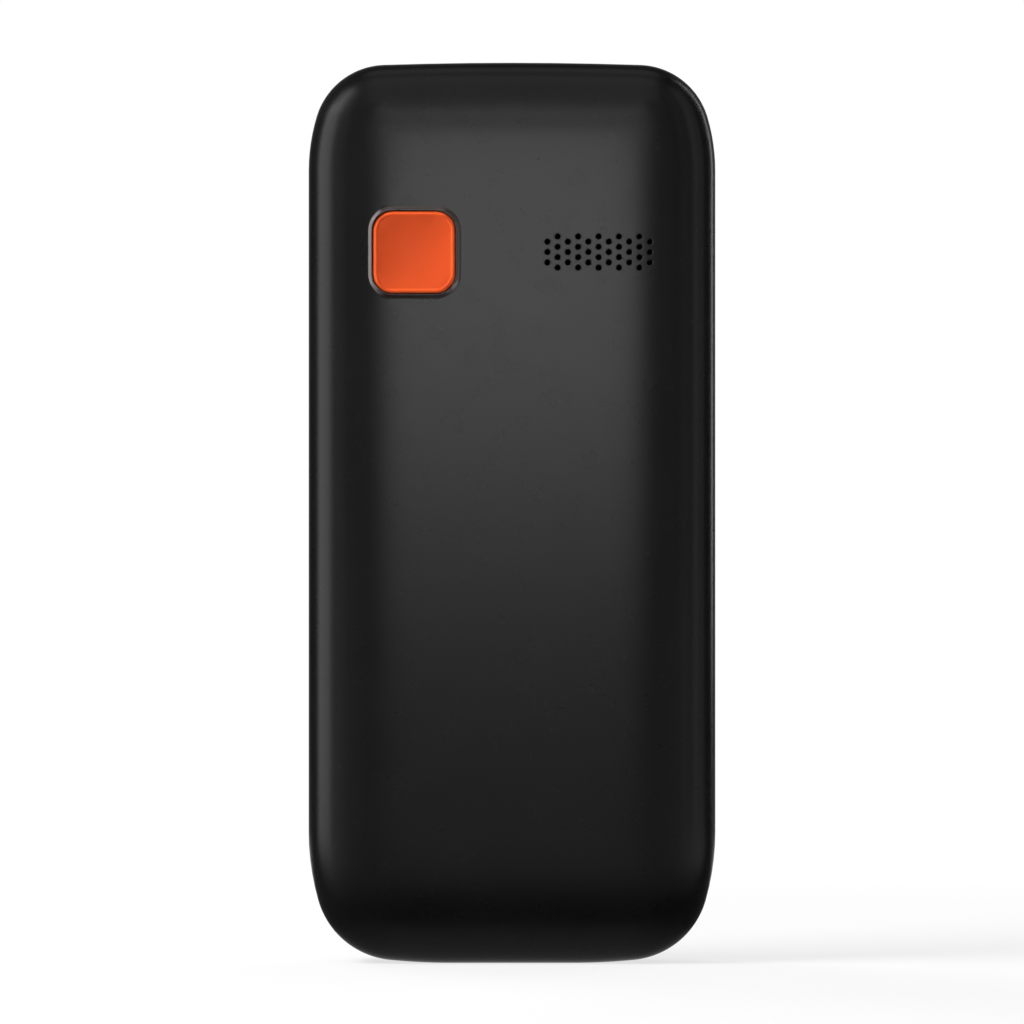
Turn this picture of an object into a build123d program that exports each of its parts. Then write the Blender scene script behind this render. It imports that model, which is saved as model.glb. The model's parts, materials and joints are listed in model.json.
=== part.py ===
from build123d import *

import os
from math import atan2, cos, radians, sin

# A bar feature phone with large keys, an emergency key on its back and a lift-off rear cover.
# It stands on its bottom end: X is across the front, Y runs from the front to the back, Z is up.
# The origin is the middle of the footprint, on the surface that the phone stands on.

# Overall sizes: the depth is worked out below, from the layers between the keys and the back
body_height = 114.0
body_width = 51.5
key_proud = 0.6
lip_height = 0.25
overrun = 1.0

# Outline corners: on each side a long blend, a tight corner and a nearly flat end, all tangent
top_blend_radius = 23.8
top_corner_radius = 9.2
top_blend_deg = 16.7
top_corner_deg = 88.1
foot_blend_radius = 31.4
foot_corner_radius = 10.5
foot_blend_deg = 15.9
foot_corner_deg = 84.3
foot_width = 16.0

# Pillowed back: the section rounds from the side wall to a flat plateau
shoulder_reach = 8.9
shoulder_bend_share = 1.18
shoulder_step_shares = [0.0, 0.12, 0.28, 0.46, 0.64, 0.82, 1.0]
inner_step_shares = [0.0, 0.2, 0.45, 0.72, 1.0]
frame_step_shares = [0.0, 0.45, 1.0]

# Walls and running gaps
cover_wall = 1.2
cover_side_height = 1.8
front_wall = 1.3
side_wall = 1.3
front_edge_radius = 1.8
front_step_shares = [0.0, 0.35, 0.7, 1.0]
frame_gap = 0.25
seat_gap = 0.05
part_gap = 0.15

# Keypad: three columns between the side margins, and rows up from the bottom margin
keypad_side_margin = 4.75
keypad_foot_margin = 7.45
key_height = 7.5
key_gap = 0.9
key_row_gap = 1.1
key_row_count = 4
key_travel = 0.35
key_bevel = 1.1
key_edge = 0.35
key_clearance = 0.15
key_flange_reach = 0.35
key_flange_thickness = 0.45
key_stem_size = 3.0
key_stem_length = 0.55
cluster_height = 15.0
cluster_gap_z = 1.65
rocker_rise_room = 0.45
rocker_flange_thickness = 0.4
rocker_stem_offset = 4.5
rocker_stem_length = 0.25
rocker_nub_radius = 0.5
rocker_nub_gap = 0.05
rocker_dish_radius = 30.0
rocker_dish_depth = 0.35

# Keypad layers and main board
mat_thickness = 0.4
mat_gap = 0.05
mat_edge = 0.5
mat_rim = 1.0
mat_hole_room = 0.2
dome_size = 4.4
dome_edge = 0.2
dome_height = 0.35
dome_room = 0.05
film_thickness = 0.1
board_thickness = 0.8
board_side_margin = 5.25
board_bottom_z = 7.0
board_top_drop = 5.0
board_top_chamfer = 8.5
board_bottom_chamfer = 3.0
board_tab_shoulder = 7.0
board_tab_bottom_z = 2.2
frame_board_gap = 1.7

# Display: the window fills the front from the keypad up to the earpiece
window_side_margin = 4.25
window_bottom_gap = 2.0
window_top_drop = 15.0
window_thickness = 0.9
window_corner_radius = 2.5
window_ledge = 0.35
window_fit = 0.1
view_side_border = 7.0
view_end_border = 1.8
view_corner_radius = 0.8
gasket_thickness = 0.4
gasket_band = 1.6
lcd_side_inset = 3.5
lcd_end_inset = 0.1
lcd_frame_wall = 0.7
lcd_frame_floor = 0.5
lcd_depth = 1.35
lcd_fit = 0.1

# Earpiece and microphone
earpiece_slot_length = 10.0
earpiece_slot_height = 1.6
earpiece_drop = 8.8
gauze_thickness = 0.15
gauze_reach = 0.8
gauze_clearance = 0.1
receiver_jack_gap = 2.7
receiver_height = 6.6
receiver_thickness = 1.45
receiver_bevel = 1.2
microphone_inset = 3.0
microphone_z = 4.3
microphone_hole_radius = 0.5
microphone_size = 3.0
microphone_thickness = 1.0
boot_size = 3.6

# Headphone jack, in the top end
jack_side_share = 0.4272
jack_y = -2.1
jack_bore_radius = 1.8
jack_bore_depth = 12.4
jack_body_width = 6.0
jack_body_depth = 5.0
jack_floor = 0.8
jack_hole_radius = 2.15
jack_top_room = 0.15
jack_pocket_gap = 0.2

# Charging port, in the bottom end
port_width = 7.5
port_depth = 2.6
port_length = 5.4
port_wall = 0.3
port_recess = 0.5
port_tongue_width = 4.6
port_tongue_thickness = 0.6
port_tongue_length = 3.6
port_room = 0.2

# Torch, in the top end
torch_y = -1.9
torch_lens_radius = 1.6
torch_led_width = 3.2
torch_led_height = 1.6
torch_led_length = 2.6
torch_gap = 0.15

# Shield cans and card holders on the back of the board
can_height = 1.4
can_edge = 0.3
can_gap = 2.0
can_edge_margin = 1.5
radio_can_height = 16.0
radio_can_drop = 2.03
processor_can_height = 17.0
processor_can_drop = 3.53
holder_height = 1.7
holder_floor = 0.3
holder_rail = 1.0
holder_edge_gap = 3.0
card_slot = 0.9
sim_holder_height = 14.0
sim_holder_gap = 1.2
sim_bay_margin = 0.4
memory_holder_width = 12.6
memory_holder_height = 11.6

# Mid frame
bay_floor = 1.2
parting_rise = 1.4
battery_side_margin = 8.75
battery_bottom_z = 15.8
battery_top_drop = 21.23
battery_thickness = 5.0
battery_bevel = 0.8
bay_clearance = 0.3
contact_width = 11.0
contact_height = 4.4
contact_depth = 3.6
contact_leaf_count = 3
contact_leaf_pitch = 2.8
leaf_width = 1.2
leaf_reach = 0.25
leaf_rise = 0.8
leaf_height = 1.6
contact_pocket_gap = 0.1
card_window_room = 0.3
core_width = 4.0
core_depth = 2.8
core_side_margin = 5.25
core_end_gap = 4.5
antenna_side_margin = 11.25
antenna_height = 6.8
antenna_thickness = 0.2
antenna_z = 9.6
antenna_rise = 5.0

# Screws that hold the mid frame on the front housing
screw_top_inset = 5.75
screw_top_drop = 8.8
screw_foot_inset = 8.25
screw_foot_z = 5.0
screw_head_radius = 1.4
screw_head_height = 0.9
screw_shank_radius = 0.7
screw_length = 4.2
screw_well_radius = 1.65
screw_hole_radius = 0.8
screw_floor = 1.1
screw_pilot_clearance = 0.05
screw_tip_gap = 0.2
stud_sides = 8
post_size = 3.4

# Emergency key on the back, at a set distance from the side and from the top
sos_side_margin = 13.42
sos_drop = 23.97
sos_size = 10.41
sos_corner_radius = 2.2
sos_gap = 0.15
sos_sunk = 0.05
sos_travel = 0.5
sos_edge = 0.4
sos_dish_depth = 0.35
sos_dish_radius = 34.0
sos_lip_width = 0.56
sos_lip_corner_radius = 2.9
sos_lip_edge = 0.2
sos_flange_reach = 0.8
sos_flange_thickness = 0.5
sos_core_wall = 1.1
sos_skin_share = 0.38
sos_stem_size = 3.0
sos_stem_sunk = 0.05
sos_deck = 1.9
sos_board_size = 9.0
sos_board_thickness = 0.4
switch_size = 4.6
switch_height = 1.2
switch_plunger_radius = 1.1
switch_plunger_height = 0.4
retainer_size = 14.0
retainer_thickness = 0.5
retainer_gap = 0.1
retainer_room = 0.2

# Vibration motor, beside the emergency key
motor_y = 3.1
motor_drop = 8.03
motor_wall = 0.73
motor_radius = 1.8
motor_length = 7.6
motor_shaft_radius = 0.35
weight_radius = 1.9
weight_length = 3.0
weight_gap = 0.6
weight_bore_clearance = 0.02
weight_hub = 0.6
motor_room = 0.25

# Loudspeaker, between the motor and the far side, level with the emergency key
speaker_side_margin = 5.83
speaker_motor_wall = 2.02
speaker_height = 13.0
speaker_depth = 2.9
speaker_floor = 2.4
speaker_rim = 1.3
speaker_rim_depth = 0.5
speaker_bevel = 1.6
speaker_fit = 0.2
speaker_magnet_share = 0.5556
speaker_magnet_height = 7.0
speaker_magnet_depth = 0.8
speaker_gasket_thickness = 0.8
speaker_gasket_band = 1.0
gasket_inset = 0.2
cone_depth = 0.4
cone_gap = 0.2

# Speaker grille in the rear cover: columns of three and four holes in turn
grille_hole_radius = 0.33
grille_hole_sides = 8
grille_pitch = 1.29
grille_side_margin = 2.5
grille_short_count = 3
grille_long_count = 4
grille_skin = 0.9
grille_pocket_margin = 1.1

# Cover details
tab_place_shares = [0.26, 0.5, 0.76]
tab_length = 5.0
tab_height = 1.2
tab_rise = 0.3
tab_reach = 0.65
tab_clearance = 0.15
pad_width = 20.0
pad_end_gap = 11.5
pad_thickness = 0.4
pad_gap = 0.1
pry_notch_length = 7.0
pry_notch_depth = 0.7
pry_notch_height = 0.6
pry_notch_z = 22.0

# Depth: the layers from the top of the keys to the rim round the emergency key
front_layers = [
    key_proud,
    front_wall,
    seat_gap,
    key_flange_thickness,
    key_stem_length,
    key_travel,
    dome_room,
    dome_height,
    board_thickness,
    frame_board_gap,
]
back_layers = [
    bay_floor,
    seat_gap,
    battery_thickness,
    pad_gap,
    pad_thickness,
    cover_wall,
    lip_height,
]
body_depth = sum(front_layers) + sum(back_layers)
key_top_y = -body_depth / 2
front_face_y = key_top_y + key_proud
front_inner_y = front_face_y + front_wall
flange_front_y = front_inner_y + seat_gap
flange_back_y = flange_front_y + key_flange_thickness
mat_front_y = flange_back_y + key_travel + mat_gap
mat_back_y = mat_front_y + mat_thickness
stem_tip_y = flange_back_y + key_stem_length
dome_top_y = stem_tip_y + key_travel + dome_room
board_front_y = dome_top_y + dome_height
board_back_y = board_front_y + board_thickness
frame_base_y = key_top_y + sum(front_layers)
parting_y = frame_base_y + parting_rise
shoulder_start_y = parting_y + cover_side_height
bay_floor_y = frame_base_y + bay_floor
battery_front_y = bay_floor_y + seat_gap
battery_back_y = battery_front_y + battery_thickness
cover_inner_y = battery_back_y + pad_gap + pad_thickness
crown_y = cover_inner_y + cover_wall
lip_top_y = body_depth / 2
shoulder_height = crown_y - shoulder_start_y
window_back_y = front_inner_y - window_ledge
lcd_front_y = front_inner_y + gasket_thickness
port_y = board_front_y + board_thickness / 2

# Across the phone
half_width = body_width / 2
frame_inset = cover_wall + frame_gap
keypad_width = body_width - 2 * keypad_side_margin
key_width = (keypad_width - 2 * key_gap) / 3
key_pitch_x = key_width + key_gap
half_board = half_width - board_side_margin
half_tab = half_board - board_tab_shoulder
window_width = body_width - 2 * window_side_margin
view_width = window_width - 2 * view_side_border
lcd_frame_width = window_width - 2 * lcd_side_inset
microphone_x = half_tab - microphone_inset
jack_x = -jack_side_share * half_width
receiver_width = 2 * (-jack_x - jack_body_width / 2 - receiver_jack_gap)
battery_width = body_width - 2 * battery_side_margin
sos_x = half_width - sos_side_margin
retainer_half_pocket = retainer_size / 2 + retainer_room
motor_half_pocket = weight_radius + motor_room
motor_x = sos_x - retainer_half_pocket - motor_wall - motor_half_pocket
speaker_left_x = speaker_side_margin - half_width
speaker_right_x = motor_x - motor_half_pocket - speaker_motor_wall
speaker_width = speaker_right_x - speaker_left_x
grille_x = (speaker_left_x + speaker_right_x) / 2
grille_column_count = 1 + int((speaker_width - 2 * grille_side_margin) / grille_pitch)

# Up the phone
key_pitch_z = key_height + key_row_gap
lowest_key_z = keypad_foot_margin + key_height / 2
cluster_bottom_z = lowest_key_z + (key_row_count - 1) * key_pitch_z + key_height / 2 + cluster_gap_z
cluster_z = cluster_bottom_z + cluster_height / 2
cluster_key_height = (cluster_height - key_gap) / 2
window_bottom_z = cluster_bottom_z + cluster_height + window_bottom_gap
window_height = body_height - window_top_drop - window_bottom_z
window_z = window_bottom_z + window_height / 2
view_height = window_height - 2 * view_end_border
lcd_frame_height = window_height - 2 * lcd_end_inset
earpiece_z = body_height - earpiece_drop
board_top_z = body_height - board_top_drop
button_z = body_height - sos_drop
battery_top_z = button_z - battery_top_drop
battery_height = battery_top_z - battery_bottom_z
battery_z = (battery_bottom_z + battery_top_z) / 2
motor_foot_z = button_z - motor_drop
core_x = half_width - core_side_margin
core_height = battery_height - 2 * core_end_gap

os.makedirs("parts", exist_ok=True)
finished = []


def keep(solid, name):
    """Labels a finished piece and writes its file."""
    solid.label = name
    export_step(solid, f"parts/{name}.step")
    finished.append(name)


def depth_plane(y):
    """The plane at depth y: its sketch axes are X and Z, and its normal points to the front."""
    return Plane.XZ.offset(-y)


def height_plane(z):
    """The plane at height z, whose normal points up."""
    return Plane.XY.offset(z)


def shoulder_point(share, offset):
    """Inset and depth of the back's section, drawn in by a wall or gap measured square to it."""
    turn = radians(90 * share)
    bend = shoulder_bend_share
    inset = shoulder_reach * (1 - cos(turn) ** bend)
    rise = shoulder_height * sin(turn)
    inset_rate = shoulder_reach * bend * cos(turn) ** (bend - 1) * sin(turn)
    rise_rate = shoulder_height * cos(turn)
    slope = atan2(rise_rate, inset_rate)
    return inset + offset * sin(slope), shoulder_start_y + rise - offset * cos(slope)


def end_radius(blend_radius, corner_radius, blend_deg, corner_deg, flat):
    """Radius of the nearly flat end arc that closes the outline at its middle."""
    blend_cos = cos(radians(blend_deg))
    corner_cos = cos(radians(corner_deg))
    used = flat + blend_radius * (1 - blend_cos) + corner_radius * (blend_cos - corner_cos)
    return (half_width - used) / corner_cos


def corner_zone(blend_radius, corner_radius, last_radius, blend_deg, corner_deg):
    """Height that the three arcs of a corner take up along the side."""
    blend_sin = sin(radians(blend_deg))
    corner_sin = sin(radians(corner_deg))
    corner_part = corner_radius * (corner_sin - blend_sin)
    return blend_radius * blend_sin + corner_part + last_radius * (1 - corner_sin)


top_end_radius = end_radius(top_blend_radius, top_corner_radius, top_blend_deg, top_corner_deg, 0)
foot_end_radius = end_radius(
    foot_blend_radius, foot_corner_radius, foot_blend_deg, foot_corner_deg, foot_width / 2
)
top_zone = corner_zone(
    top_blend_radius, top_corner_radius, top_end_radius, top_blend_deg, top_corner_deg
)
foot_zone = corner_zone(
    foot_blend_radius, foot_corner_radius, foot_end_radius, foot_blend_deg, foot_corner_deg
)


def corner_arcs(side_z, up, inset, radii, blend_deg, corner_deg):
    """The three tangent arcs from a straight side to an end, up for the top or -1 for the foot."""
    centre_x, centre_z = half_width - radii[0], side_z
    angles = [0, blend_deg, corner_deg, 90]
    arcs = []
    for i, radius in enumerate(radii):
        start, size = up * angles[i], up * (angles[i + 1] - angles[i])
        arcs.append(CenterArc((centre_x, centre_z), radius - inset, start, size))
        if i + 1 < len(radii):
            turn = radians(angles[i + 1])
            centre_x += (radius - radii[i + 1]) * cos(turn)
            centre_z += up * (radius - radii[i + 1]) * sin(turn)
    return arcs


def body_outline(inset):
    """The phone's outline as seen from the front, drawn in by an inset."""
    low_z = foot_zone
    high_z = body_height - top_zone
    foot_radii = [foot_blend_radius, foot_corner_radius, foot_end_radius]
    top_radii = [top_blend_radius, top_corner_radius, top_end_radius]
    with BuildSketch() as outline:
        with BuildLine():
            Line((-foot_width / 2, inset), (foot_width / 2, inset))
            right = corner_arcs(low_z, -1, inset, foot_radii, foot_blend_deg, foot_corner_deg)
            right.append(Line((half_width - inset, low_z), (half_width - inset, high_z)))
            right += corner_arcs(high_z, 1, inset, top_radii, top_blend_deg, top_corner_deg)
            mirror(right, about=Plane.YZ)
        make_face()
    return outline.sketch


def slab(width, height, front_y, back_y, x=0, z=0, corner=0, bevel=0, mode=Mode.ADD):
    """A plate between two depths, centred on x and z, with round or cut corners."""
    with BuildSketch(depth_plane(back_y)) as profile:
        with Locations((x, z)):
            if corner:
                RectangleRounded(width, height, corner)
            else:
                Rectangle(width, height)
        if bevel:
            chamfer(profile.vertices(), bevel)
    extrude(profile.sketch, amount=back_y - front_y, mode=mode)


def cut(width, height, front_y, back_y, x=0, z=0, corner=0, bevel=0):
    """A pocket or an opening between two depths, the same shape as a slab."""
    slab(width, height, front_y, back_y, x, z, corner, bevel, Mode.SUBTRACT)


def studs(radius, front_y, back_y, places, mode=Mode.ADD):
    """Small eight-sided pins or holes along Y between two depths, one at each place."""
    with BuildSketch(depth_plane(back_y)) as profile:
        with Locations(*places):
            RegularPolygon(radius, stud_sides)
    extrude(profile.sketch, amount=back_y - front_y, mode=mode)


def pillow(offset, base_y, step_shares):
    """The pillowed back as a solid, from base_y to the plateau, drawn in by an offset."""
    with BuildPart() as body:
        with BuildSketch(depth_plane(shoulder_start_y)):
            add(body_outline(offset))
        extrude(amount=shoulder_start_y - base_y)
        for share in step_shares:
            inset, y = shoulder_point(share, offset)
            with BuildSketch(depth_plane(y)):
                add(body_outline(inset))
        loft(ruled=True)
    return body.part


# Rear cover

lip_size = sos_size + 2 * sos_gap + 2 * sos_lip_width
grille_width = (grille_column_count - 1) * grille_pitch
grille_height = (grille_long_count - 1) * grille_pitch
grille_floor_y = crown_y - grille_skin
grille_pocket_width = grille_width + 2 * grille_pocket_margin
grille_pocket_height = grille_height + 2 * grille_pocket_margin
tab_x = half_width - cover_wall - tab_reach / 2
tab_front_y = parting_y + tab_rise
tab_back_y = tab_front_y + tab_height

with BuildPart() as rear_cover:
    add(pillow(0.0, parting_y + seat_gap, shoulder_step_shares))
    add(pillow(cover_wall, parting_y - overrun, inner_step_shares), mode=Mode.SUBTRACT)
    lip_root_y = crown_y - cover_wall / 2
    slab(lip_size, lip_size, lip_root_y, lip_top_y, sos_x, button_z, sos_lip_corner_radius)
    chamfer(rear_cover.faces().sort_by(Axis.Y)[-1].edges(), sos_lip_edge)
    aperture = sos_size + 2 * sos_gap
    aperture_corner = sos_corner_radius + sos_gap
    cut_back_y = lip_top_y + overrun
    cut(aperture, aperture, parting_y, cut_back_y, sos_x, button_z, aperture_corner)
    cut(grille_pocket_width, grille_pocket_height, parting_y, grille_floor_y, grille_x, button_z)
    with BuildSketch(depth_plane(cut_back_y)):
        for column in range(grille_column_count):
            count = grille_long_count if column % 2 else grille_short_count
            with Locations((grille_x + column * grille_pitch - grille_width / 2, button_z)):
                with GridLocations(0, grille_pitch, 1, count):
                    RegularPolygon(grille_hole_radius, grille_hole_sides)
    extrude(amount=cut_back_y - parting_y, mode=Mode.SUBTRACT)
    for side in (-1, 1):
        for share in tab_place_shares:
            tab_width = tab_reach + cover_wall / 2
            x = side * (tab_x + cover_wall / 4)
            slab(tab_width, tab_length, tab_front_y, tab_back_y, x, share * body_height)
keep(rear_cover.part, "rear_cover")

with BuildPart() as speaker_mesh:
    gauze_width = grille_pocket_width - 2 * gauze_clearance
    gauze_height = grille_pocket_height - 2 * gauze_clearance
    gauze_front_y = grille_floor_y - gauze_thickness
    slab(gauze_width, gauze_height, gauze_front_y, grille_floor_y, grille_x, button_z)
keep(speaker_mesh.part, "speaker_mesh")

with BuildPart() as battery_pad:
    pad_height = battery_height - 2 * pad_end_gap
    pad_front_y = cover_inner_y - pad_thickness
    slab(pad_width, pad_height, pad_front_y, cover_inner_y, 0, battery_z)
keep(battery_pad.part, "battery_pad")


# Front housing

row_width = keypad_width + 2 * key_clearance
post_back_y = frame_base_y - seat_gap
end_cut = side_wall + 2 * overrun
screw_top_x = half_width - screw_top_inset
screw_top_z = body_height - screw_top_drop
screw_foot_x = half_width - screw_foot_inset
screw_places = [
    (side * x, z)
    for x, z in ((screw_top_x, screw_top_z), (screw_foot_x, screw_foot_z))
    for side in (-1, 1)
]

with BuildPart() as front_housing:
    with BuildSketch(depth_plane(parting_y)):
        add(body_outline(0.0))
    extrude(amount=parting_y - front_face_y - front_edge_radius)
    for share in front_step_shares:
        turn = radians(90 * share)
        with BuildSketch(depth_plane(front_face_y + front_edge_radius * (1 - sin(turn)))):
            add(body_outline(front_edge_radius * (1 - cos(turn))))
    loft(ruled=True)
    with BuildSketch(depth_plane(parting_y)):
        add(body_outline(side_wall))
    extrude(amount=parting_y - front_inner_y, mode=Mode.SUBTRACT)
    for x, z in screw_places:
        slab(post_size, post_size, front_inner_y, post_back_y, x, z)
    cut_front_y = front_face_y - overrun
    cut(window_width, window_height, cut_front_y, window_back_y, 0, window_z, window_corner_radius)
    cut(view_width, view_height, cut_front_y, board_front_y, 0, window_z, view_corner_radius)
    for row in range(key_row_count):
        row_z = lowest_key_z + row * key_pitch_z
        row_height = key_height + 2 * key_clearance
        cut(row_width, row_height, cut_front_y, board_front_y, 0, row_z, bevel=key_bevel)
    opening_height = cluster_height + 2 * key_clearance
    cut(row_width, opening_height, cut_front_y, board_front_y, 0, cluster_z, bevel=key_bevel)
    with BuildSketch(depth_plane(front_inner_y + overrun)):
        with Locations((0, earpiece_z)):
            SlotOverall(earpiece_slot_length, earpiece_slot_height)
        with Locations((microphone_x, microphone_z)):
            Circle(microphone_hole_radius)
    extrude(amount=front_wall + 2 * overrun, mode=Mode.SUBTRACT)
    with BuildSketch(height_plane(body_height + overrun)):
        with Locations((jack_x, jack_y)):
            Circle(jack_hole_radius)
        with Locations((0, torch_y)):
            Circle(torch_lens_radius + torch_gap)
    extrude(amount=-end_cut, mode=Mode.SUBTRACT)
    with BuildSketch(height_plane(-overrun)):
        with Locations((0, port_y)):
            Rectangle(port_width + 2 * port_room, port_depth + 2 * port_room)
    extrude(amount=end_cut, mode=Mode.SUBTRACT)
    cut(
        2 * pry_notch_depth, pry_notch_length, parting_y - pry_notch_height, parting_y + overrun,
        half_width, pry_notch_z,
    )
    pilot_front_y = post_back_y - screw_length + screw_floor - screw_tip_gap
    pilot_radius = screw_shank_radius + screw_pilot_clearance
    studs(pilot_radius, pilot_front_y, post_back_y, screw_places, Mode.SUBTRACT)
keep(front_housing.part, "front_housing")

with BuildPart() as display_window:
    glass_front_y = window_back_y - window_thickness
    glass_width = window_width - 2 * window_fit
    glass_height = window_height - 2 * window_fit
    glass_corner = window_corner_radius - window_fit
    slab(glass_width, glass_height, glass_front_y, window_back_y, 0, window_z, glass_corner)
keep(display_window.part, "display_window")

with BuildPart() as earpiece_mesh:
    gauze_back_y = front_inner_y + gauze_thickness
    ear_width = earpiece_slot_length + 2 * gauze_reach
    ear_height = earpiece_slot_height + 2 * gauze_reach
    slab(ear_width, ear_height, front_inner_y, gauze_back_y, 0, earpiece_z)
keep(earpiece_mesh.part, "earpiece_mesh")

with BuildPart() as earpiece_receiver:
    receiver_back_y = gauze_back_y + receiver_thickness
    slab(
        receiver_width, receiver_height, gauze_back_y, receiver_back_y, 0, earpiece_z,
        bevel=receiver_bevel,
    )
keep(earpiece_receiver.part, "earpiece_receiver")

with BuildPart() as microphone:
    microphone_front_y = board_front_y - microphone_thickness
    slab(microphone_size, microphone_size, microphone_front_y, board_front_y, microphone_x, microphone_z)
keep(microphone.part, "microphone")

with BuildPart() as microphone_boot:
    slab(boot_size, boot_size, front_inner_y, microphone_front_y, microphone_x, microphone_z)
    boot_bore = 2 * microphone_hole_radius
    cut(boot_bore, boot_bore, front_inner_y, microphone_front_y, microphone_x, microphone_z)
keep(microphone_boot.part, "microphone_boot")


# Display behind the window

with BuildPart() as display_gasket:
    opening_width = lcd_frame_width - 2 * gasket_band
    opening_height = lcd_frame_height - 2 * gasket_band
    slab(lcd_frame_width, lcd_frame_height, front_inner_y, lcd_front_y, 0, window_z)
    cut(opening_width, opening_height, front_inner_y, lcd_front_y, 0, window_z)
keep(display_gasket.part, "display_gasket")

with BuildPart() as lcd_frame:
    lcd_back_y = lcd_front_y + lcd_depth
    lcd_floor_y = lcd_back_y - lcd_frame_floor
    lcd_inner_width = lcd_frame_width - 2 * lcd_frame_wall
    lcd_inner_height = lcd_frame_height - 2 * lcd_frame_wall
    slab(lcd_frame_width, lcd_frame_height, lcd_front_y, lcd_back_y, 0, window_z)
    cut(lcd_inner_width, lcd_inner_height, lcd_front_y, lcd_floor_y, 0, window_z)
keep(lcd_frame.part, "lcd_frame")

with BuildPart() as lcd_panel:
    panel_width = lcd_inner_width - 2 * lcd_fit
    panel_height = lcd_inner_height - 2 * lcd_fit
    slab(panel_width, panel_height, lcd_front_y, lcd_floor_y, 0, window_z)
keep(lcd_panel.part, "lcd_panel")


# Keys: each cap has a hidden flange behind the housing and a stem over its dome

stem_places = []


def make_key(name, width, height, x, z):
    """One key with its cap, flange and stem."""
    with BuildPart() as key:
        slab(width, height, key_top_y, flange_front_y, x, z, bevel=key_bevel)
        chamfer(key.faces().sort_by(Axis.Y)[0].edges(), key_edge)
        flange_width = width + 2 * key_flange_reach
        flange_height = height + 2 * key_flange_reach
        slab(flange_width, flange_height, flange_front_y, flange_back_y, x, z)
        slab(key_stem_size, key_stem_size, flange_back_y, stem_tip_y, x, z)
    keep(key.part, name)
    stem_places.append((x, z))


key_names = [
    ["key_star", "key_0", "key_hash"],
    ["key_7", "key_8", "key_9"],
    ["key_4", "key_5", "key_6"],
    ["key_1", "key_2", "key_3"],
]
for row, names in enumerate(key_names):
    for column, name in enumerate(names):
        key_x = (column - 1) * key_pitch_x
        make_key(name, key_width, key_height, key_x, lowest_key_z + row * key_pitch_z)

upper_key_z = cluster_z + (cluster_key_height + key_gap) / 2
lower_key_z = cluster_z - (cluster_key_height + key_gap) / 2
make_key("left_soft_key", key_width, cluster_key_height, -key_pitch_x, upper_key_z)
make_key("right_soft_key", key_width, cluster_key_height, key_pitch_x, upper_key_z)
make_key("call_key", key_width, cluster_key_height, -key_pitch_x, lower_key_z)
make_key("end_key", key_width, cluster_key_height, key_pitch_x, lower_key_z)

rocker_pivot_y = board_front_y - film_thickness - rocker_nub_gap - rocker_nub_radius
rocker_flange_front_y = front_inner_y + rocker_rise_room
rocker_flange_back_y = rocker_flange_front_y + rocker_flange_thickness
rocker_stem_zs = [cluster_z - rocker_stem_offset, cluster_z + rocker_stem_offset]

with BuildPart() as nav_rocker:
    slab(key_width, cluster_height, key_top_y, rocker_flange_front_y, 0, cluster_z, bevel=key_bevel)
    chamfer(nav_rocker.faces().sort_by(Axis.Y)[0].edges(), key_edge)
    rocker_flange_width = key_width + 2 * key_flange_reach
    rocker_flange_height = cluster_height + 2 * key_flange_reach
    slab(
        rocker_flange_width, rocker_flange_height, rocker_flange_front_y, rocker_flange_back_y, 0,
        cluster_z,
    )
    for z in rocker_stem_zs:
        rocker_tip_y = rocker_flange_back_y + rocker_stem_length
        slab(key_stem_size, key_stem_size, rocker_flange_back_y, rocker_tip_y, 0, z)
    slab(key_stem_size, 2 * rocker_nub_radius, rocker_flange_back_y, rocker_pivot_y, 0, cluster_z)
    with BuildSketch(Plane.YZ.offset(-key_stem_size / 2)):
        with Locations((rocker_pivot_y, cluster_z)):
            Circle(rocker_nub_radius)
    extrude(amount=key_stem_size)
    dish_axis_y = key_top_y + rocker_dish_depth - rocker_dish_radius
    with BuildSketch(Plane.YZ.offset(-key_width)):
        with Locations((dish_axis_y, cluster_z)):
            Circle(rocker_dish_radius)
    extrude(amount=2 * key_width, mode=Mode.SUBTRACT)
keep(nav_rocker.part, "nav_rocker")


# Keypad layers

mat_width = 2 * (half_board - mat_edge)
mat_bottom_z = board_bottom_z + mat_edge
mat_top_z = cluster_bottom_z + cluster_height + mat_edge
mat_height = mat_top_z - mat_bottom_z
mat_z = mat_bottom_z + mat_height / 2
film_width = mat_width - 2 * mat_rim - 2 * mat_gap
film_height = mat_height - 2 * mat_rim - 2 * mat_gap
dome_places = stem_places + [(0, z) for z in rocker_stem_zs]

with BuildPart() as keymat:
    slab(mat_width, mat_height, mat_front_y, board_front_y, 0, mat_z)
    rim_inner_width = mat_width - 2 * mat_rim
    rim_inner_height = mat_height - 2 * mat_rim
    cut(rim_inner_width, rim_inner_height, mat_back_y, board_front_y, 0, mat_z)
    hole_size = key_stem_size + 2 * mat_hole_room
    for x, z in stem_places:
        cut(hole_size, hole_size, mat_front_y, board_front_y, x, z)
    cut(
        rocker_flange_width + 2 * mat_hole_room, rocker_flange_height + 2 * mat_hole_room,
        mat_front_y, mat_back_y, 0, cluster_z,
    )
keep(keymat.part, "keymat")

with BuildPart() as key_domes:
    film_front_y = board_front_y - film_thickness
    slab(film_width, film_height, film_front_y, board_front_y, 0, mat_z)
    for x, z in dome_places:
        slab(dome_size, dome_size, dome_top_y, film_front_y, x, z)
    chamfer(key_domes.faces().group_by(Axis.Y)[0].edges(), dome_edge)
keep(key_domes.part, "key_domes")


# Main board and what is soldered to it

port_notch_width = port_width + 2 * port_room
port_notch_top_z = port_recess + port_length + port_room
jack_top_z = body_height - side_wall - part_gap - jack_top_room
jack_length = jack_bore_depth + jack_floor
jack_bottom_z = jack_top_z - jack_length
jack_notch_width = jack_body_width + 2 * port_room

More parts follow.
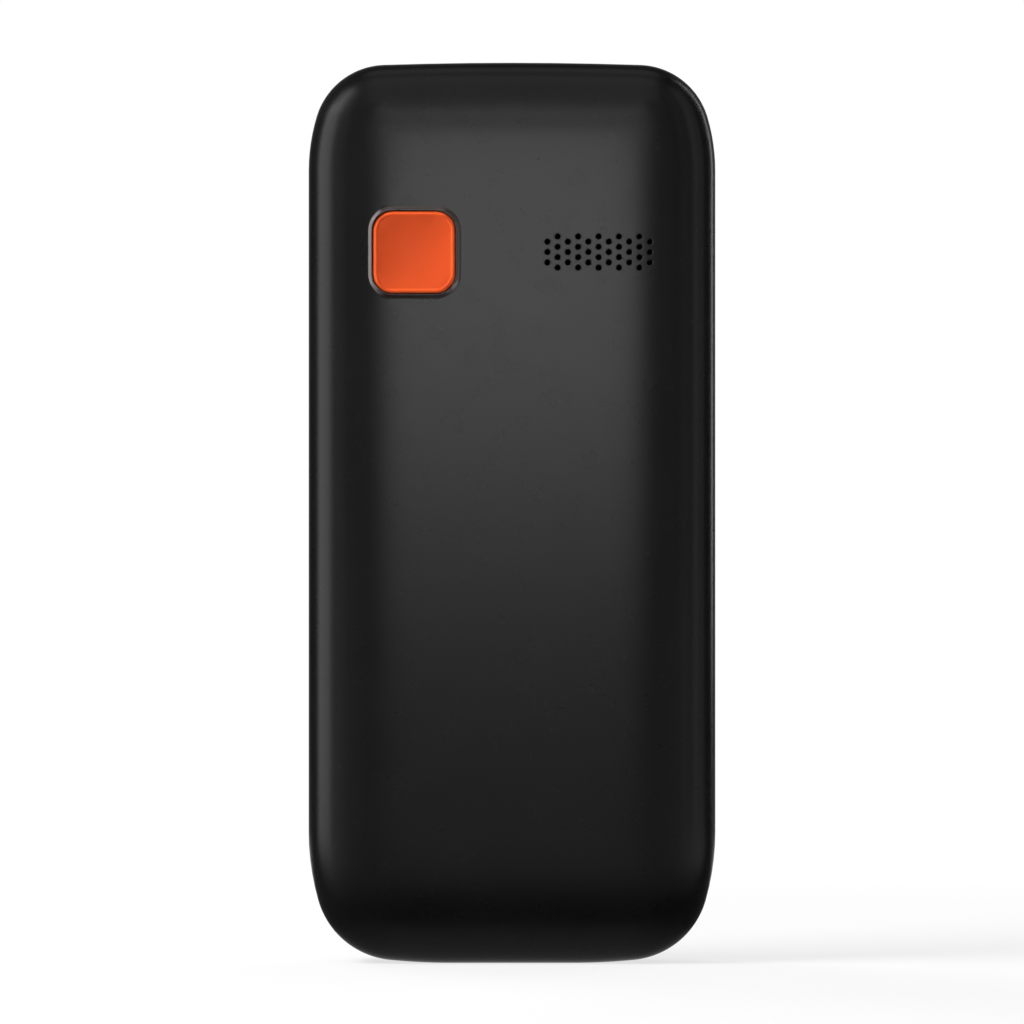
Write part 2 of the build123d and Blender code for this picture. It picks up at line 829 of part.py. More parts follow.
with BuildPart() as main_board:
    with BuildSketch(depth_plane(board_back_y)):
        with BuildLine():
            Polyline(
                (half_tab, board_tab_bottom_z),
                (half_tab, board_bottom_z),
                (half_board - board_bottom_chamfer, board_bottom_z),
                (half_board, board_bottom_z + board_bottom_chamfer),
                (half_board, board_top_z - board_top_chamfer),
                (half_board - board_top_chamfer, board_top_z),
                (board_top_chamfer - half_board, board_top_z),
                (-half_board, board_top_z - board_top_chamfer),
                (-half_board, board_bottom_z + board_bottom_chamfer),
                (board_bottom_chamfer - half_board, board_bottom_z),
                (-half_tab, board_bottom_z),
                (-half_tab, board_tab_bottom_z),
                close=True,
            )
        make_face()
    extrude(amount=board_thickness)
    port_notch_z = port_notch_top_z / 2
    cut(port_notch_width, port_notch_top_z, board_front_y, board_back_y, 0, port_notch_z)
    jack_notch_bottom_z = jack_bottom_z - port_room
    jack_notch_height = board_top_z + overrun - jack_notch_bottom_z
    cut(
        jack_notch_width, jack_notch_height, board_front_y, board_back_y, jack_x,
        jack_notch_bottom_z + jack_notch_height / 2,
    )
keep(main_board.part, "main_board")


def make_can(name, width, height, x, z):
    """A pressed shield can, soldered to the back of the board."""
    can_back_y = board_back_y + can_height
    with BuildPart() as can:
        slab(width, height, board_back_y, can_back_y, x, z)
        chamfer(can.faces().sort_by(Axis.Y)[-1].edges(), can_edge)
    keep(can.part, name)


radio_can_width = half_board - can_edge_margin
radio_can_z = button_z - radio_can_drop
processor_can_width = radio_can_width - can_gap
processor_can_x = -can_gap - processor_can_width / 2
processor_can_z = button_z - processor_can_drop
make_can("shield_can_radio", radio_can_width, radio_can_height, radio_can_width / 2, radio_can_z)
make_can(
    "shield_can_processor",
    processor_can_width,
    processor_can_height,
    processor_can_x,
    processor_can_z,
)


def make_card_holder(name, width, height, x, z):
    """A card holder: a low metal bridge with a slot for the card and an open thumb notch."""
    holder_back_y = board_back_y + holder_height
    with BuildPart() as holder:
        slab(width, height, board_back_y, holder_back_y, x, z)
        slot_front_y = board_back_y + holder_floor
        slot_width = width - 2 * holder_rail
        cut(slot_width, height, slot_front_y, slot_front_y + card_slot, x, z - holder_rail)
        notch_width = width / 2
        cut(notch_width, height, slot_front_y, holder_back_y, x, z - height / 2)
    keep(holder.part, name)


sim_holder_width = battery_width / 2 - sim_holder_gap / 2 - sim_bay_margin
sim_holder_x = (sim_holder_width + sim_holder_gap) / 2
sim_holder_z = battery_top_z - holder_edge_gap - sim_holder_height / 2
memory_holder_z = battery_bottom_z + holder_edge_gap + memory_holder_height / 2
make_card_holder("sim_holder_1", sim_holder_width, sim_holder_height, -sim_holder_x, sim_holder_z)
make_card_holder("sim_holder_2", sim_holder_width, sim_holder_height, sim_holder_x, sim_holder_z)
make_card_holder("memory_card_holder", memory_holder_width, memory_holder_height, 0, memory_holder_z)

port_top_z = port_recess + port_length

with BuildPart() as usb_port_shell:
    with BuildSketch(height_plane(port_recess)):
        with Locations((0, port_y)):
            Rectangle(port_width, port_depth)
    extrude(amount=port_length)
    with BuildSketch(height_plane(port_recess)):
        with Locations((0, port_y)):
            Rectangle(port_width - 2 * port_wall, port_depth - 2 * port_wall)
    extrude(amount=port_length - port_wall, mode=Mode.SUBTRACT)
keep(usb_port_shell.part, "usb_port_shell")

with BuildPart() as usb_port_tongue:
    with BuildSketch(height_plane(port_top_z - port_wall)):
        with Locations((0, port_y)):
            Rectangle(port_tongue_width, port_tongue_thickness)
    extrude(amount=-port_tongue_length)
keep(usb_port_tongue.part, "usb_port_tongue")

with BuildPart() as headphone_jack:
    with BuildSketch(height_plane(jack_bottom_z)):
        with Locations((jack_x, jack_y)):
            Rectangle(jack_body_width, jack_body_depth)
    extrude(amount=jack_length)
    with BuildSketch(height_plane(jack_top_z)):
        with Locations((jack_x, jack_y)):
            Circle(jack_bore_radius)
    extrude(amount=-jack_bore_depth, mode=Mode.SUBTRACT)
keep(headphone_jack.part, "headphone_jack")

with BuildPart() as torch_led:
    led_z = board_top_z - torch_led_length / 2
    led_back_y = board_back_y + torch_led_height
    slab(torch_led_width, torch_led_length, board_back_y, led_back_y, 0, led_z)
keep(torch_led.part, "torch_led")

with BuildPart() as torch_lens:
    lens_foot_z = board_top_z + torch_gap
    with BuildSketch(height_plane(lens_foot_z)):
        with Locations((0, torch_y)):
            Circle(torch_lens_radius)
    extrude(amount=body_height - torch_gap - lens_foot_z)
keep(torch_lens.part, "torch_lens")


# Mid frame

battery_pocket_width = battery_width + 2 * bay_clearance
battery_pocket_height = battery_height + 2 * bay_clearance
frame_top_y = lip_top_y
sos_flange_size = sos_size + 2 * sos_flange_reach
sos_pocket_size = sos_flange_size + 2 * retainer_room
sos_deck_y = frame_base_y + sos_deck
switch_front_y = sos_deck_y + sos_board_thickness
switch_back_y = switch_front_y + switch_height
plunger_back_y = switch_back_y + switch_plunger_height
sos_tip_y = plunger_back_y + sos_travel + seat_gap
sos_base_y = sos_tip_y + sos_stem_sunk
sos_flange_back_y = sos_base_y + sos_flange_thickness
retainer_front_y = sos_flange_back_y + retainer_gap
retainer_back_y = retainer_front_y + retainer_thickness
contact_z = battery_z + battery_pocket_height / 2 + contact_height / 2
well_floor_y = frame_base_y + screw_floor
antenna_y = frame_base_y + antenna_rise
antenna_back_y = antenna_y + antenna_thickness
antenna_width = body_width - 2 * antenna_side_margin
speaker_floor_y = frame_base_y + speaker_floor

with BuildPart() as mid_frame:
    add(pillow(frame_inset, frame_base_y, frame_step_shares))
    cut(
        battery_pocket_width, battery_pocket_height, bay_floor_y, frame_top_y, 0, battery_z,
    )
    cut(
        contact_width + 2 * contact_pocket_gap, contact_height + 2 * contact_pocket_gap,
        bay_floor_y, frame_top_y, 0, contact_z,
    )
    card_windows = [
        (sim_holder_width, sim_holder_height, -sim_holder_x, sim_holder_z),
        (sim_holder_width, sim_holder_height, sim_holder_x, sim_holder_z),
        (memory_holder_width, memory_holder_height, 0, memory_holder_z),
    ]
    for width, height, x, z in card_windows:
        cut(width + 2 * card_window_room, height + 2 * card_window_room, frame_base_y, bay_floor_y, x, z)
    cut(sos_pocket_size, sos_pocket_size, sos_deck_y, frame_top_y, sos_x, button_z)
    cut(
        retainer_size + 2 * retainer_room, retainer_size + 2 * retainer_room, retainer_front_y,
        frame_top_y, sos_x, button_z,
    )
    cut(
        speaker_width + 2 * speaker_fit, speaker_height + 2 * speaker_fit, speaker_floor_y,
        frame_top_y, grille_x, button_z, bevel=speaker_bevel,
    )
    motor_span = motor_length + weight_gap + weight_length
    motor_pocket_height = motor_span + 2 * motor_room
    cut(
        2 * (weight_radius + motor_room), motor_pocket_height,
        motor_y - weight_radius - motor_room, frame_top_y, motor_x, motor_foot_z + motor_span / 2,
    )
    cut(
        antenna_width + 2 * part_gap, antenna_height + 2 * part_gap, antenna_y, frame_top_y, 0,
        antenna_z,
    )
    for side in (-1, 1):
        for share in tab_place_shares:
            notch_inner_x = half_width - cover_wall - tab_reach - tab_clearance
            notch_width = half_width - notch_inner_x
            cut(
                notch_width, tab_length + 2 * tab_clearance, tab_front_y - tab_clearance,
                frame_top_y, side * (notch_inner_x + notch_width / 2), share * body_height,
            )
        cut(core_width, core_height, frame_base_y, frame_base_y + core_depth, side * core_x, battery_z)
    jack_pocket_height = body_height - jack_bottom_z + jack_pocket_gap
    cut(
        jack_body_width + 2 * jack_pocket_gap, jack_pocket_height, frame_base_y,
        jack_y + jack_body_depth / 2 + jack_pocket_gap, jack_x,
        body_height - jack_pocket_height / 2,
    )
    lens_pocket_height = body_height - board_top_z
    cut(
        2 * (torch_lens_radius + jack_pocket_gap), lens_pocket_height, frame_base_y,
        torch_y + torch_lens_radius + jack_pocket_gap, 0,
        body_height - lens_pocket_height / 2,
    )
    studs(screw_well_radius, well_floor_y, frame_top_y, screw_places, Mode.SUBTRACT)
    studs(screw_hole_radius, frame_base_y, well_floor_y, screw_places, Mode.SUBTRACT)
keep(mid_frame.part, "mid_frame")

with BuildPart() as chassis_screws:
    head_back_y = well_floor_y + screw_head_height
    studs(screw_head_radius, well_floor_y, head_back_y, screw_places)
    studs(screw_shank_radius, well_floor_y - screw_length, well_floor_y, screw_places)
keep(chassis_screws.part, "chassis_screws")

with BuildPart() as battery:
    slab(
        battery_width, battery_height, battery_front_y, battery_back_y, 0, battery_z,
        bevel=battery_bevel,
    )
keep(battery.part, "battery")

with BuildPart() as battery_contacts:
    contact_back_y = bay_floor_y + contact_depth
    slab(contact_width, contact_height, bay_floor_y, contact_back_y, 0, contact_z)
    leaf_z = contact_z - contact_height / 2 - leaf_reach / 2
    for leaf in range(contact_leaf_count):
        leaf_x = (leaf - (contact_leaf_count - 1) / 2) * contact_leaf_pitch
        leaf_front_y = bay_floor_y + leaf_rise
        leaf_back_y = leaf_front_y + leaf_height
        slab(leaf_width, leaf_reach, leaf_front_y, leaf_back_y, leaf_x, leaf_z)
keep(battery_contacts.part, "battery_contacts")

with BuildPart() as gsm_antenna:
    slab(antenna_width, antenna_height, antenna_y, antenna_back_y, 0, antenna_z)
keep(gsm_antenna.part, "gsm_antenna")


# Loudspeaker

speaker_back_y = speaker_floor_y + speaker_depth
speaker_magnet_width = speaker_magnet_share * speaker_width

with BuildPart() as loudspeaker_frame:
    slab(
        speaker_width, speaker_height, speaker_floor_y, speaker_back_y, grille_x, button_z,
        bevel=speaker_bevel,
    )
    cut(
        speaker_width - 2 * speaker_rim, speaker_height - 2 * speaker_rim, speaker_floor_y,
        speaker_back_y, grille_x, button_z,
    )
keep(loudspeaker_frame.part, "loudspeaker_frame")

with BuildPart() as loudspeaker_magnet:
    magnet_back_y = speaker_floor_y + speaker_magnet_depth
    slab(speaker_magnet_width, speaker_magnet_height, speaker_floor_y, magnet_back_y, grille_x, button_z)
keep(loudspeaker_magnet.part, "loudspeaker_magnet")

with BuildPart() as loudspeaker_cone:
    cone_width = speaker_width - 2 * speaker_rim - 2 * cone_gap
    cone_height = speaker_height - 2 * speaker_rim - 2 * cone_gap
    cone_back_y = speaker_back_y - speaker_rim_depth
    slab(cone_width, cone_height, cone_back_y - cone_depth, cone_back_y, grille_x, button_z)
    slab(
        speaker_magnet_width - 2 * cone_gap, speaker_magnet_height - 2 * cone_gap,
        magnet_back_y + cone_gap, cone_back_y - cone_depth, grille_x, button_z,
    )
keep(loudspeaker_cone.part, "loudspeaker_cone")

with BuildPart() as speaker_gasket:
    gasket_back_y = speaker_back_y + speaker_gasket_thickness
    gasket_width = speaker_width - 2 * gasket_inset
    gasket_height = speaker_height - 2 * gasket_inset
    slab(
        gasket_width, gasket_height, speaker_back_y, gasket_back_y, grille_x, button_z,
        bevel=speaker_bevel,
    )
    cut(
        gasket_width - 2 * speaker_gasket_band, gasket_height - 2 * speaker_gasket_band,
        speaker_back_y, gasket_back_y, grille_x, button_z,
    )
keep(speaker_gasket.part, "speaker_gasket")


# Vibration motor, with its off-centre weight on the shaft

motor_top_z = motor_foot_z + motor_length

with BuildPart() as vibration_motor:
    with BuildSketch(height_plane(motor_foot_z)):
        with Locations((motor_x, motor_y)):
            Circle(motor_radius)
    extrude(amount=motor_length)
    with BuildSketch(height_plane(motor_top_z)):
        with Locations((motor_x, motor_y)):
            Circle(motor_shaft_radius)
    extrude(amount=weight_gap + weight_length)
keep(vibration_motor.part, "vibration_motor")

with BuildPart() as motor_weight:
    with BuildSketch(height_plane(motor_top_z + weight_gap)):
        with Locations((motor_x, motor_y)):
            Circle(weight_radius)
        with Locations((motor_x, motor_y + weight_radius + weight_hub)):
            Rectangle(2 * weight_radius, 2 * weight_radius, mode=Mode.SUBTRACT)
        with Locations((motor_x, motor_y)):
            Circle(motor_shaft_radius + weight_bore_clearance, mode=Mode.SUBTRACT)
    extrude(amount=weight_length)
keep(motor_weight.part, "motor_weight")


# Emergency key and its switch

sos_face_y = lip_top_y - sos_sunk
sos_core_back_y = sos_face_y - sos_skin_share * (sos_face_y - sos_base_y)

with BuildPart() as sos_button:
    slab(sos_size, sos_size, sos_flange_back_y, sos_face_y, sos_x, button_z, sos_corner_radius)
    chamfer(sos_button.faces().sort_by(Axis.Y)[-1].edges(), sos_edge)
    slab(sos_flange_size, sos_flange_size, sos_base_y, sos_flange_back_y, sos_x, button_z)
    core_size = sos_size - 2 * sos_core_wall
    cut(core_size, core_size, sos_base_y, sos_core_back_y, sos_x, button_z)
    slab(sos_stem_size, sos_stem_size, sos_tip_y, sos_core_back_y, sos_x, button_z)
    dish_centre_y = sos_face_y - sos_dish_depth + sos_dish_radius
    dish = Sphere(sos_dish_radius, mode=Mode.PRIVATE)
    add(dish.moved(Location((sos_x, dish_centre_y, button_z))), mode=Mode.SUBTRACT)
keep(sos_button.part, "sos_button")

with BuildPart() as sos_retainer:
    slab(retainer_size, retainer_size, retainer_front_y, retainer_back_y, sos_x, button_z)
    retainer_hole = sos_size + 2 * retainer_room
    cut(
        retainer_hole, retainer_hole, retainer_front_y, retainer_back_y, sos_x, button_z,
    )
keep(sos_retainer.part, "sos_retainer")

with BuildPart() as sos_board:
    slab(sos_board_size, sos_board_size, sos_deck_y, switch_front_y, sos_x, button_z)
keep(sos_board.part, "sos_board")

with BuildPart() as sos_switch:
    slab(switch_size, switch_size, switch_front_y, switch_back_y, sos_x, button_z)
    studs(switch_plunger_radius, switch_back_y, plunger_back_y, [(sos_x, button_z)])
keep(sos_switch.part, "sos_switch")

print(len(finished), "pieces written")
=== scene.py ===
"""Looks of the feature phone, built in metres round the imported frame."""
import json
from math import cos, pi, radians, sin, sqrt

import bmesh
import bpy
import numpy as np
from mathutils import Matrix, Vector
from mathutils.geometry import delaunay_2d_cdt


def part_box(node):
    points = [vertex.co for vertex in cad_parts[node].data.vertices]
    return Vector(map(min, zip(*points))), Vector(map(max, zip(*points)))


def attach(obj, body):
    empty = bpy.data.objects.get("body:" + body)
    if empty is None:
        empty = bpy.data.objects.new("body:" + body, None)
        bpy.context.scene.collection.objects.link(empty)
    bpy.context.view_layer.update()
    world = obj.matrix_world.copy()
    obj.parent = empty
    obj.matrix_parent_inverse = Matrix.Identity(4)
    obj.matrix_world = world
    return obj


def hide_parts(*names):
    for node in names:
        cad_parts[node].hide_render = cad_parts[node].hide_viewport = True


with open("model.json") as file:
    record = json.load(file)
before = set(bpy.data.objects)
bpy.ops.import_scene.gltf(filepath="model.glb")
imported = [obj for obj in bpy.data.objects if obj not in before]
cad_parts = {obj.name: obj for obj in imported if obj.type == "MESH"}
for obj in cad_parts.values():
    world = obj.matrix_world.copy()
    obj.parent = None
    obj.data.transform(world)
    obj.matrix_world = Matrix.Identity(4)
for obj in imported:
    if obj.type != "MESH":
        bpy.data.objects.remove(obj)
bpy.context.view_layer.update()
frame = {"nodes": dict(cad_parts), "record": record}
MM = 0.001

# Sizes in millimetres, as in the solids, but with the emergency key and the grille 0.18 mm lower

HEIGHT = 114.0
HALF = 25.75
FACE_Y = -6.6
PARTING_Y = 0.4
SHOULDER_Y = 2.2
CROWN_Y = 6.95
LIP_Y = 7.2
COVER_WALL = 1.2
BUTTON_X, BUTTON_Z = 12.33, 89.85
GRILLE_X = -10.92
SPEAKER_Z = 90.03

# Outline arcs: blend, corner and end radii, with the angles where they meet
TOP_RADII = [23.8, 9.2]
TOP_DEG = [0.0, 16.7, 88.1, 90.0]
FOOT_RADII = [31.4, 10.5]
FOOT_DEG = [0.0, 15.9, 84.3, 90.0]
FOOT_FLAT = 8.0
ARC_STEP_DEG = 3.0


def end_radius(radii, deg, flat):
    """Radius of the arc that closes an end of the outline."""
    blend, corner = cos(radians(deg[1])), cos(radians(deg[2]))
    return (HALF - flat - radii[0] * (1 - blend) - radii[1] * (blend - corner)) / corner


TOP_RADII.append(end_radius(TOP_RADII, TOP_DEG, 0))
FOOT_RADII.append(end_radius(FOOT_RADII, FOOT_DEG, FOOT_FLAT))


def corner_height(radii, deg):
    """Height that a corner's three arcs take up along the side."""
    s1, s2 = sin(radians(deg[1])), sin(radians(deg[2]))
    return radii[0] * s1 + radii[1] * (s2 - s1) + radii[2] * (1 - s2)


def corner_points(inset, radii, deg, side_z, up):
    """Points of one corner from the straight side to the end, as x and z."""
    x, z = HALF - radii[0], side_z
    points = []
    for i, radius in enumerate(radii):
        span = deg[i + 1] - deg[i]
        steps = max(1, round(span / ARC_STEP_DEG * (4 if i == 2 else 1)))
        for k in range(steps + (i == 2)):
            turn = radians(deg[i] + span * k / steps)
            points.append((x + (radius - inset) * cos(turn), z + up * (radius - inset) * sin(turn)))
        if i < 2:
            turn = radians(deg[i + 1])
            x += (radius - radii[i + 1]) * cos(turn)
            z += up * (radius - radii[i + 1]) * sin(turn)
    return points


SIDE_STEPS = 14
NOTCH_Z, NOTCH_HALF = 22.0, 3.5
NOTCH_STEPS = (-3.9, -3.75, -3.6, -3.45, -3.3, -1.6, 0.0, 1.6, 3.3, 3.45, 3.6, 3.75, 3.9)


def outline(inset=0.0):
    """The body's outline drawn in by an inset, counter-clockwise in x and z from the right side."""
    low = corner_height(FOOT_RADII, FOOT_DEG)
    high = HEIGHT - corner_height(TOP_RADII, TOP_DEG)
    even = [low + (high - low) * k / SIDE_STEPS for k in range(1, SIDE_STEPS)]
    heights = [z for z in even if abs(z - NOTCH_Z) > NOTCH_HALF + 1]
    heights += [NOTCH_Z + step for step in NOTCH_STEPS]
    side = [(HALF - inset, z) for z in sorted(heights)]
    foot = corner_points(inset, FOOT_RADII, FOOT_DEG, low, -1)
    top = corner_points(inset, TOP_RADII, TOP_DEG, high, 1)
    right = foot[::-1] + side + top
    left = [(-x, z) for x, z in right[-2::-1]]
    return np.array(right + left)


def rounded(width, height, radius, x=0.0, z=0.0, steps=8):
    """A rounded rectangle as a loop of x and z, counter-clockwise."""
    loop = []
    for start, sx, sz in ((0, 1, 1), (90, -1, 1), (180, -1, -1), (270, 1, -1)):
        cx, cz = x + sx * (width / 2 - radius), z + sz * (height / 2 - radius)
        for k in range(steps + 1):
            turn = radians(start + 90 * k / steps)
            loop.append((cx + radius * cos(turn), cz + radius * sin(turn)))
    return np.array(loop)


def round_loop(radius, x, z, steps=24):
    """A circle as a loop of x and z."""
    return np.array([(x + radius * cos(2 * pi * k / steps), z + radius * sin(2 * pi * k / steps))
                     for k in range(steps)])


# Mesh tools: loops of points are joined into skins, walls and lofts


def spawn(name, data):
    """A new object in the scene."""
    made = bpy.data.objects.new(name, data)
    bpy.context.scene.collection.objects.link(made)
    return made


class Shell:
    """Gathers vertices and faces of one piece, in millimetres."""

    def __init__(self):
        self.points = []
        self.faces = []
        self.slots = []

    def add(self, points):
        first = len(self.points)
        self.points += [tuple(p) for p in points]
        return list(range(first, len(self.points)))

    def face(self, ids, slot=0):
        self.faces.append(tuple(ids))
        self.slots.append(slot)

    def bridge(self, low, high, slot=0):
        """Joins two closed rows of vertices, turned so that high follows low outwards."""
        count = len(low)
        for k in range(count):
            n = (k + 1) % count
            self.face((low[k], low[n], high[n], high[k]), slot)

    def loft(self, rows, slot=0, cap_start=False, cap_end=False):
        """Joins closed rows of points one after another."""
        ids = [self.add(row) for row in rows]
        for a, b in zip(ids, ids[1:]):
            self.bridge(a, b, slot)
        if cap_start:
            self.face(ids[0][::-1], slot)
        if cap_end:
            self.face(ids[-1], slot)

    def solid(self, rows, slot=0):
        """A loft closed at both ends."""
        self.loft(rows, slot, True, True)

    def build(self, name, materials, smooth_deg=35.0):
        mesh = bpy.data.meshes.new(name)
        mesh.from_pydata([(x * MM, y * MM, z * MM) for x, y, z in self.points], [], self.faces)
        mesh.polygons.foreach_set("material_index", self.slots)
        for material in materials:
            mesh.materials.append(material)
        tidy = bmesh.new()
        tidy.from_mesh(mesh)
        bmesh.ops.remove_doubles(tidy, verts=tidy.verts, dist=1e-7)
        bmesh.ops.recalc_face_normals(tidy, faces=tidy.faces)
        tidy.to_mesh(mesh)
        tidy.free()
        mesh.shade_smooth()
        mesh.set_sharp_from_angle(angle=radians(smooth_deg))
        return spawn(name, mesh)


def at_depth(loop, y):
    """Lifts a loop of x and z to one depth y, or to one depth per point."""
    depth = np.broadcast_to(np.asarray(y, float), (len(loop),))
    return np.column_stack([loop[:, 0], depth, loop[:, 1]])


def stack(width, height, corner, x, z, profile, steps=8):
    """Rounded rectangles drawn in by each inset of a profile, at its depth; corner gives their radius."""
    return [at_depth(rounded(width - 2 * inset, height - 2 * inset, corner(inset), x, z, steps), y)
            for inset, y in profile]


def inside(points, loop):
    """Which points lie in a closed loop."""
    found = np.zeros(len(points), bool)
    for (x1, z1), (x2, z2) in zip(loop, np.roll(loop, -1, axis=0)):
        crosses = (z1 > points[:, 1]) != (z2 > points[:, 1])
        if z1 != z2:
            found ^= crosses & (points[:, 0] < (x2 - x1) * (points[:, 1] - z1) / (z2 - z1) + x1)
    return found


def distance(points, loop):
    """Shortest distance from each point to a closed loop."""
    best = np.full(len(points), 1e9)
    for start, end in zip(loop, np.roll(loop, -1, axis=0)):
        along = end - start
        share = np.clip((points - start) @ along / max(along @ along, 1e-12), 0, 1)
        gap = points - start - share[:, None] * along
        best = np.minimum(best, np.einsum("ij,ij->i", gap, gap))
    return np.sqrt(best)


def triangles(loops, holes, extra):
    """Fills the first loop with triangles, keeping every loop's edges and leaving the holes open."""
    points, edges = [], []
    for loop in loops:
        first = len(points)
        points += [tuple(p) for p in loop]
        edges += [(first + k, first + (k + 1) % len(loop)) for k in range(len(loop))]
    points += [tuple(p) for p in extra]
    made = delaunay_2d_cdt([Vector(p) for p in points], edges, [], 1, 1e-6)
    flat = np.array([tuple(v) for v in made[0]])
    faces = np.array([f for f in made[2]])
    centres = flat[faces].mean(axis=1)
    keep = np.ones(len(faces), bool)
    for hole in holes:
        keep &= ~inside(centres, hole)
    return flat, faces[keep], made[3]


def grid_points(loop, spacing, clear):
    """A staggered grid inside a loop, clear of the given loops by a share of the spacing."""
    lo, hi = loop.min(axis=0), loop.max(axis=0)
    rows = []
    for j, z in enumerate(np.arange(lo[1], hi[1], spacing * 0.87)):
        xs = np.arange(lo[0] + (j % 2) * spacing / 2, hi[0], spacing)
        rows.append(np.column_stack([xs, np.full(len(xs), z)]))
    points = np.vstack(rows)
    points = points[inside(points, loop)]
    for other in [loop] + clear:
        points = points[distance(points, other) > spacing * 0.55]
    return points


class Pocket:
    """An opening or recess in a skin: its edge loop by outward offset, edge radius and floor."""

    def __init__(self, loop, floor, edge=0.1, steps=(0.0, 0.12, 0.4, 1.0, 2.2), shape=None, closed=False,
                 slot=0):
        self.loop, self.floor, self.edge = loop, floor, edge
        self.steps, self.shape, self.closed, self.slot = steps, shape, closed, slot

    def depth(self, share, skin, side):
        """Depth at a share of the edge: round, or by the pocket's own shape."""
        if self.shape:
            return self.shape(share * self.edge, skin)
        return skin - side * self.edge * (1 - sqrt(1 - (1 - min(share, 1.0)) ** 2))


def relief(shell, rings, pockets, height, spacing, side=1, bands=(), grid=True, lift=at_depth):
    """Fills a skin between rings of known depth and pockets, and returns its rim.

    rings are pairs of loop and depth from the edge inwards, height gives the depth elsewhere,
    bands are loops that only add points, side is 1 for a skin that faces the back, and lift
    puts flat points at their depth."""
    loops, depths = [r[0] for r in rings], [np.broadcast_to(r[1], len(r[0])) for r in rings]
    clear = [pocket.loop(pocket.edge * pocket.steps[-1]) for pocket in pockets]
    for pocket in pockets:
        for share in pocket.steps:
            loops.append(pocket.loop(pocket.edge * share))
            depths.append(pocket.depth(share, height(loops[-1]), side))
    extra = [grid_points(rings[-1][0], spacing, clear)] if grid else []
    for loop in bands:
        near = np.ones(len(loop), bool)
        for hole in clear:
            near &= ~inside(loop, hole) & (distance(loop, hole) > spacing * 0.3)
        extra.append(loop[near])
    flat, faces, origin = triangles(loops, [pocket.loop(0.0) for pocket in pockets], np.vstack(extra))
    depth = height(flat)
    known = np.concatenate(depths)
    place = {}
    for out, sources in enumerate(origin):
        for source in sources:
            place[source] = out
            if source < len(known):
                depth[out] = known[source]
    ids = shell.add(lift(flat, depth))
    for face in faces:
        shell.face([ids[k] for k in face])
    for pocket in pockets:
        edge = pocket.loop(0.0)
        top = lift(edge, pocket.depth(0.0, height(edge), side))
        shell.loft([top, lift(edge, pocket.floor)], pocket.slot, cap_end=pocket.closed)
    return [ids[place[k]] for k in range(len(rings[0][0]))]


def box_pocket(width, height, radius, x, z, floor, **options):
    """A pocket with a rounded rectangle as its edge."""
    return Pocket(lambda e: rounded(width + 2 * e, height + 2 * e, radius + e, x, z), floor, **options)


def round_pocket(radius, x, z, floor, **options):
    """A pocket with a circle as its edge."""
    steps = 24 if radius < 1 else 48
    return Pocket(lambda e: round_loop(radius + e, x, z, steps), floor, **options)


# Pillowed back

PILLOW_REACH = 14.3
PILLOW_RISE = CROWN_Y - SHOULDER_Y
PILLOW_BEND = 2 / 3
PROFILE_DEG = 89.9
PROFILE_COUNT = 300


def pillow_profile(offset=0.0):
    """Insets and depths of the back's section, drawn in square to it by an offset."""
    turn = np.radians(np.linspace(0, PROFILE_DEG, PROFILE_COUNT))
    inset = PILLOW_REACH * (1 - np.cos(turn) ** PILLOW_BEND)
    y = SHOULDER_Y + PILLOW_RISE * np.sin(turn)
    slope = np.arctan2(PILLOW_RISE * np.cos(turn),
                       PILLOW_REACH * PILLOW_BEND * np.cos(turn) ** (PILLOW_BEND - 1) * np.sin(turn))
    return inset + offset * np.sin(slope), y - offset * np.cos(slope)


EDGE = outline()
FIELD_STEP = 0.75
FIELD_X = np.arange(-27, 27.01, FIELD_STEP)
FIELD_Z = np.arange(-1.5, 115.51, FIELD_STEP)
BLUR_MM = 2.2
BLUR_REACH = 6


def smooth_step(low, high, value):
    """Rises from 0 at low to 1 at high with level ends."""
    share = np.clip((value - low) / (high - low), 0, 1)
    return share * share * (3 - 2 * share)


def soft_distance():
    """A grid of the distance to the outline, rounded off where the corners' creases would be."""
    xs, zs = np.meshgrid(FIELD_X, FIELD_Z)
    points = np.column_stack([xs.ravel(), zs.ravel()])
    field = np.where(inside(points, EDGE), 1, -1) * distance(points, EDGE)
    field = field.reshape(xs.shape)
    taps = np.exp(-0.5 * (np.arange(-BLUR_REACH, BLUR_REACH + 1) * FIELD_STEP / BLUR_MM) ** 2)
    taps /= taps.sum()
    wide = np.pad(field, BLUR_REACH, mode="edge")
    for axis in (1, 0):
        wide = np.apply_along_axis(np.convolve, axis, wide, taps, "valid")
    return wide


SOFT = soft_distance()


def spline_weights(share):
    """The four weights of a smooth cubic between grid points."""
    return [(1 - share) ** 3 / 6, (3 * share**3 - 6 * share**2 + 4) / 6,
            (-3 * share**3 + 3 * share**2 + 3 * share + 1) / 6, share**3 / 6]


def soft_lookup(points):
    """The rounded distance at any points."""
    gx = np.clip((points[:, 0] - FIELD_X[0]) / FIELD_STEP, 1, len(FIELD_X) - 3)
    gz = np.clip((points[:, 1] - FIELD_Z[0]) / FIELD_STEP, 1, len(FIELD_Z) - 3)
    ix, iz = gx.astype(int), gz.astype(int)
    wx, wz = spline_weights(gx - ix), spline_weights(gz - iz)
    total = np.zeros(len(points))
    for j in range(4):
        for i in range(4):
            total += wz[j] * wx[i] * SOFT[iz + j - 1, ix + i - 1]
    return total


END_FADE = 15, 24
EDGE_FADE = 4.5, 9.0


def depth_in(points):
    """Distance from the outline, exact near it and rounded off further in."""
    exact = distance(points, EDGE)
    end = 1 - smooth_step(*END_FADE, np.minimum(points[:, 1], HEIGHT - points[:, 1]))
    blend = smooth_step(*EDGE_FADE, exact) * end
    return exact * (1 - blend) + soft_lookup(points) * blend


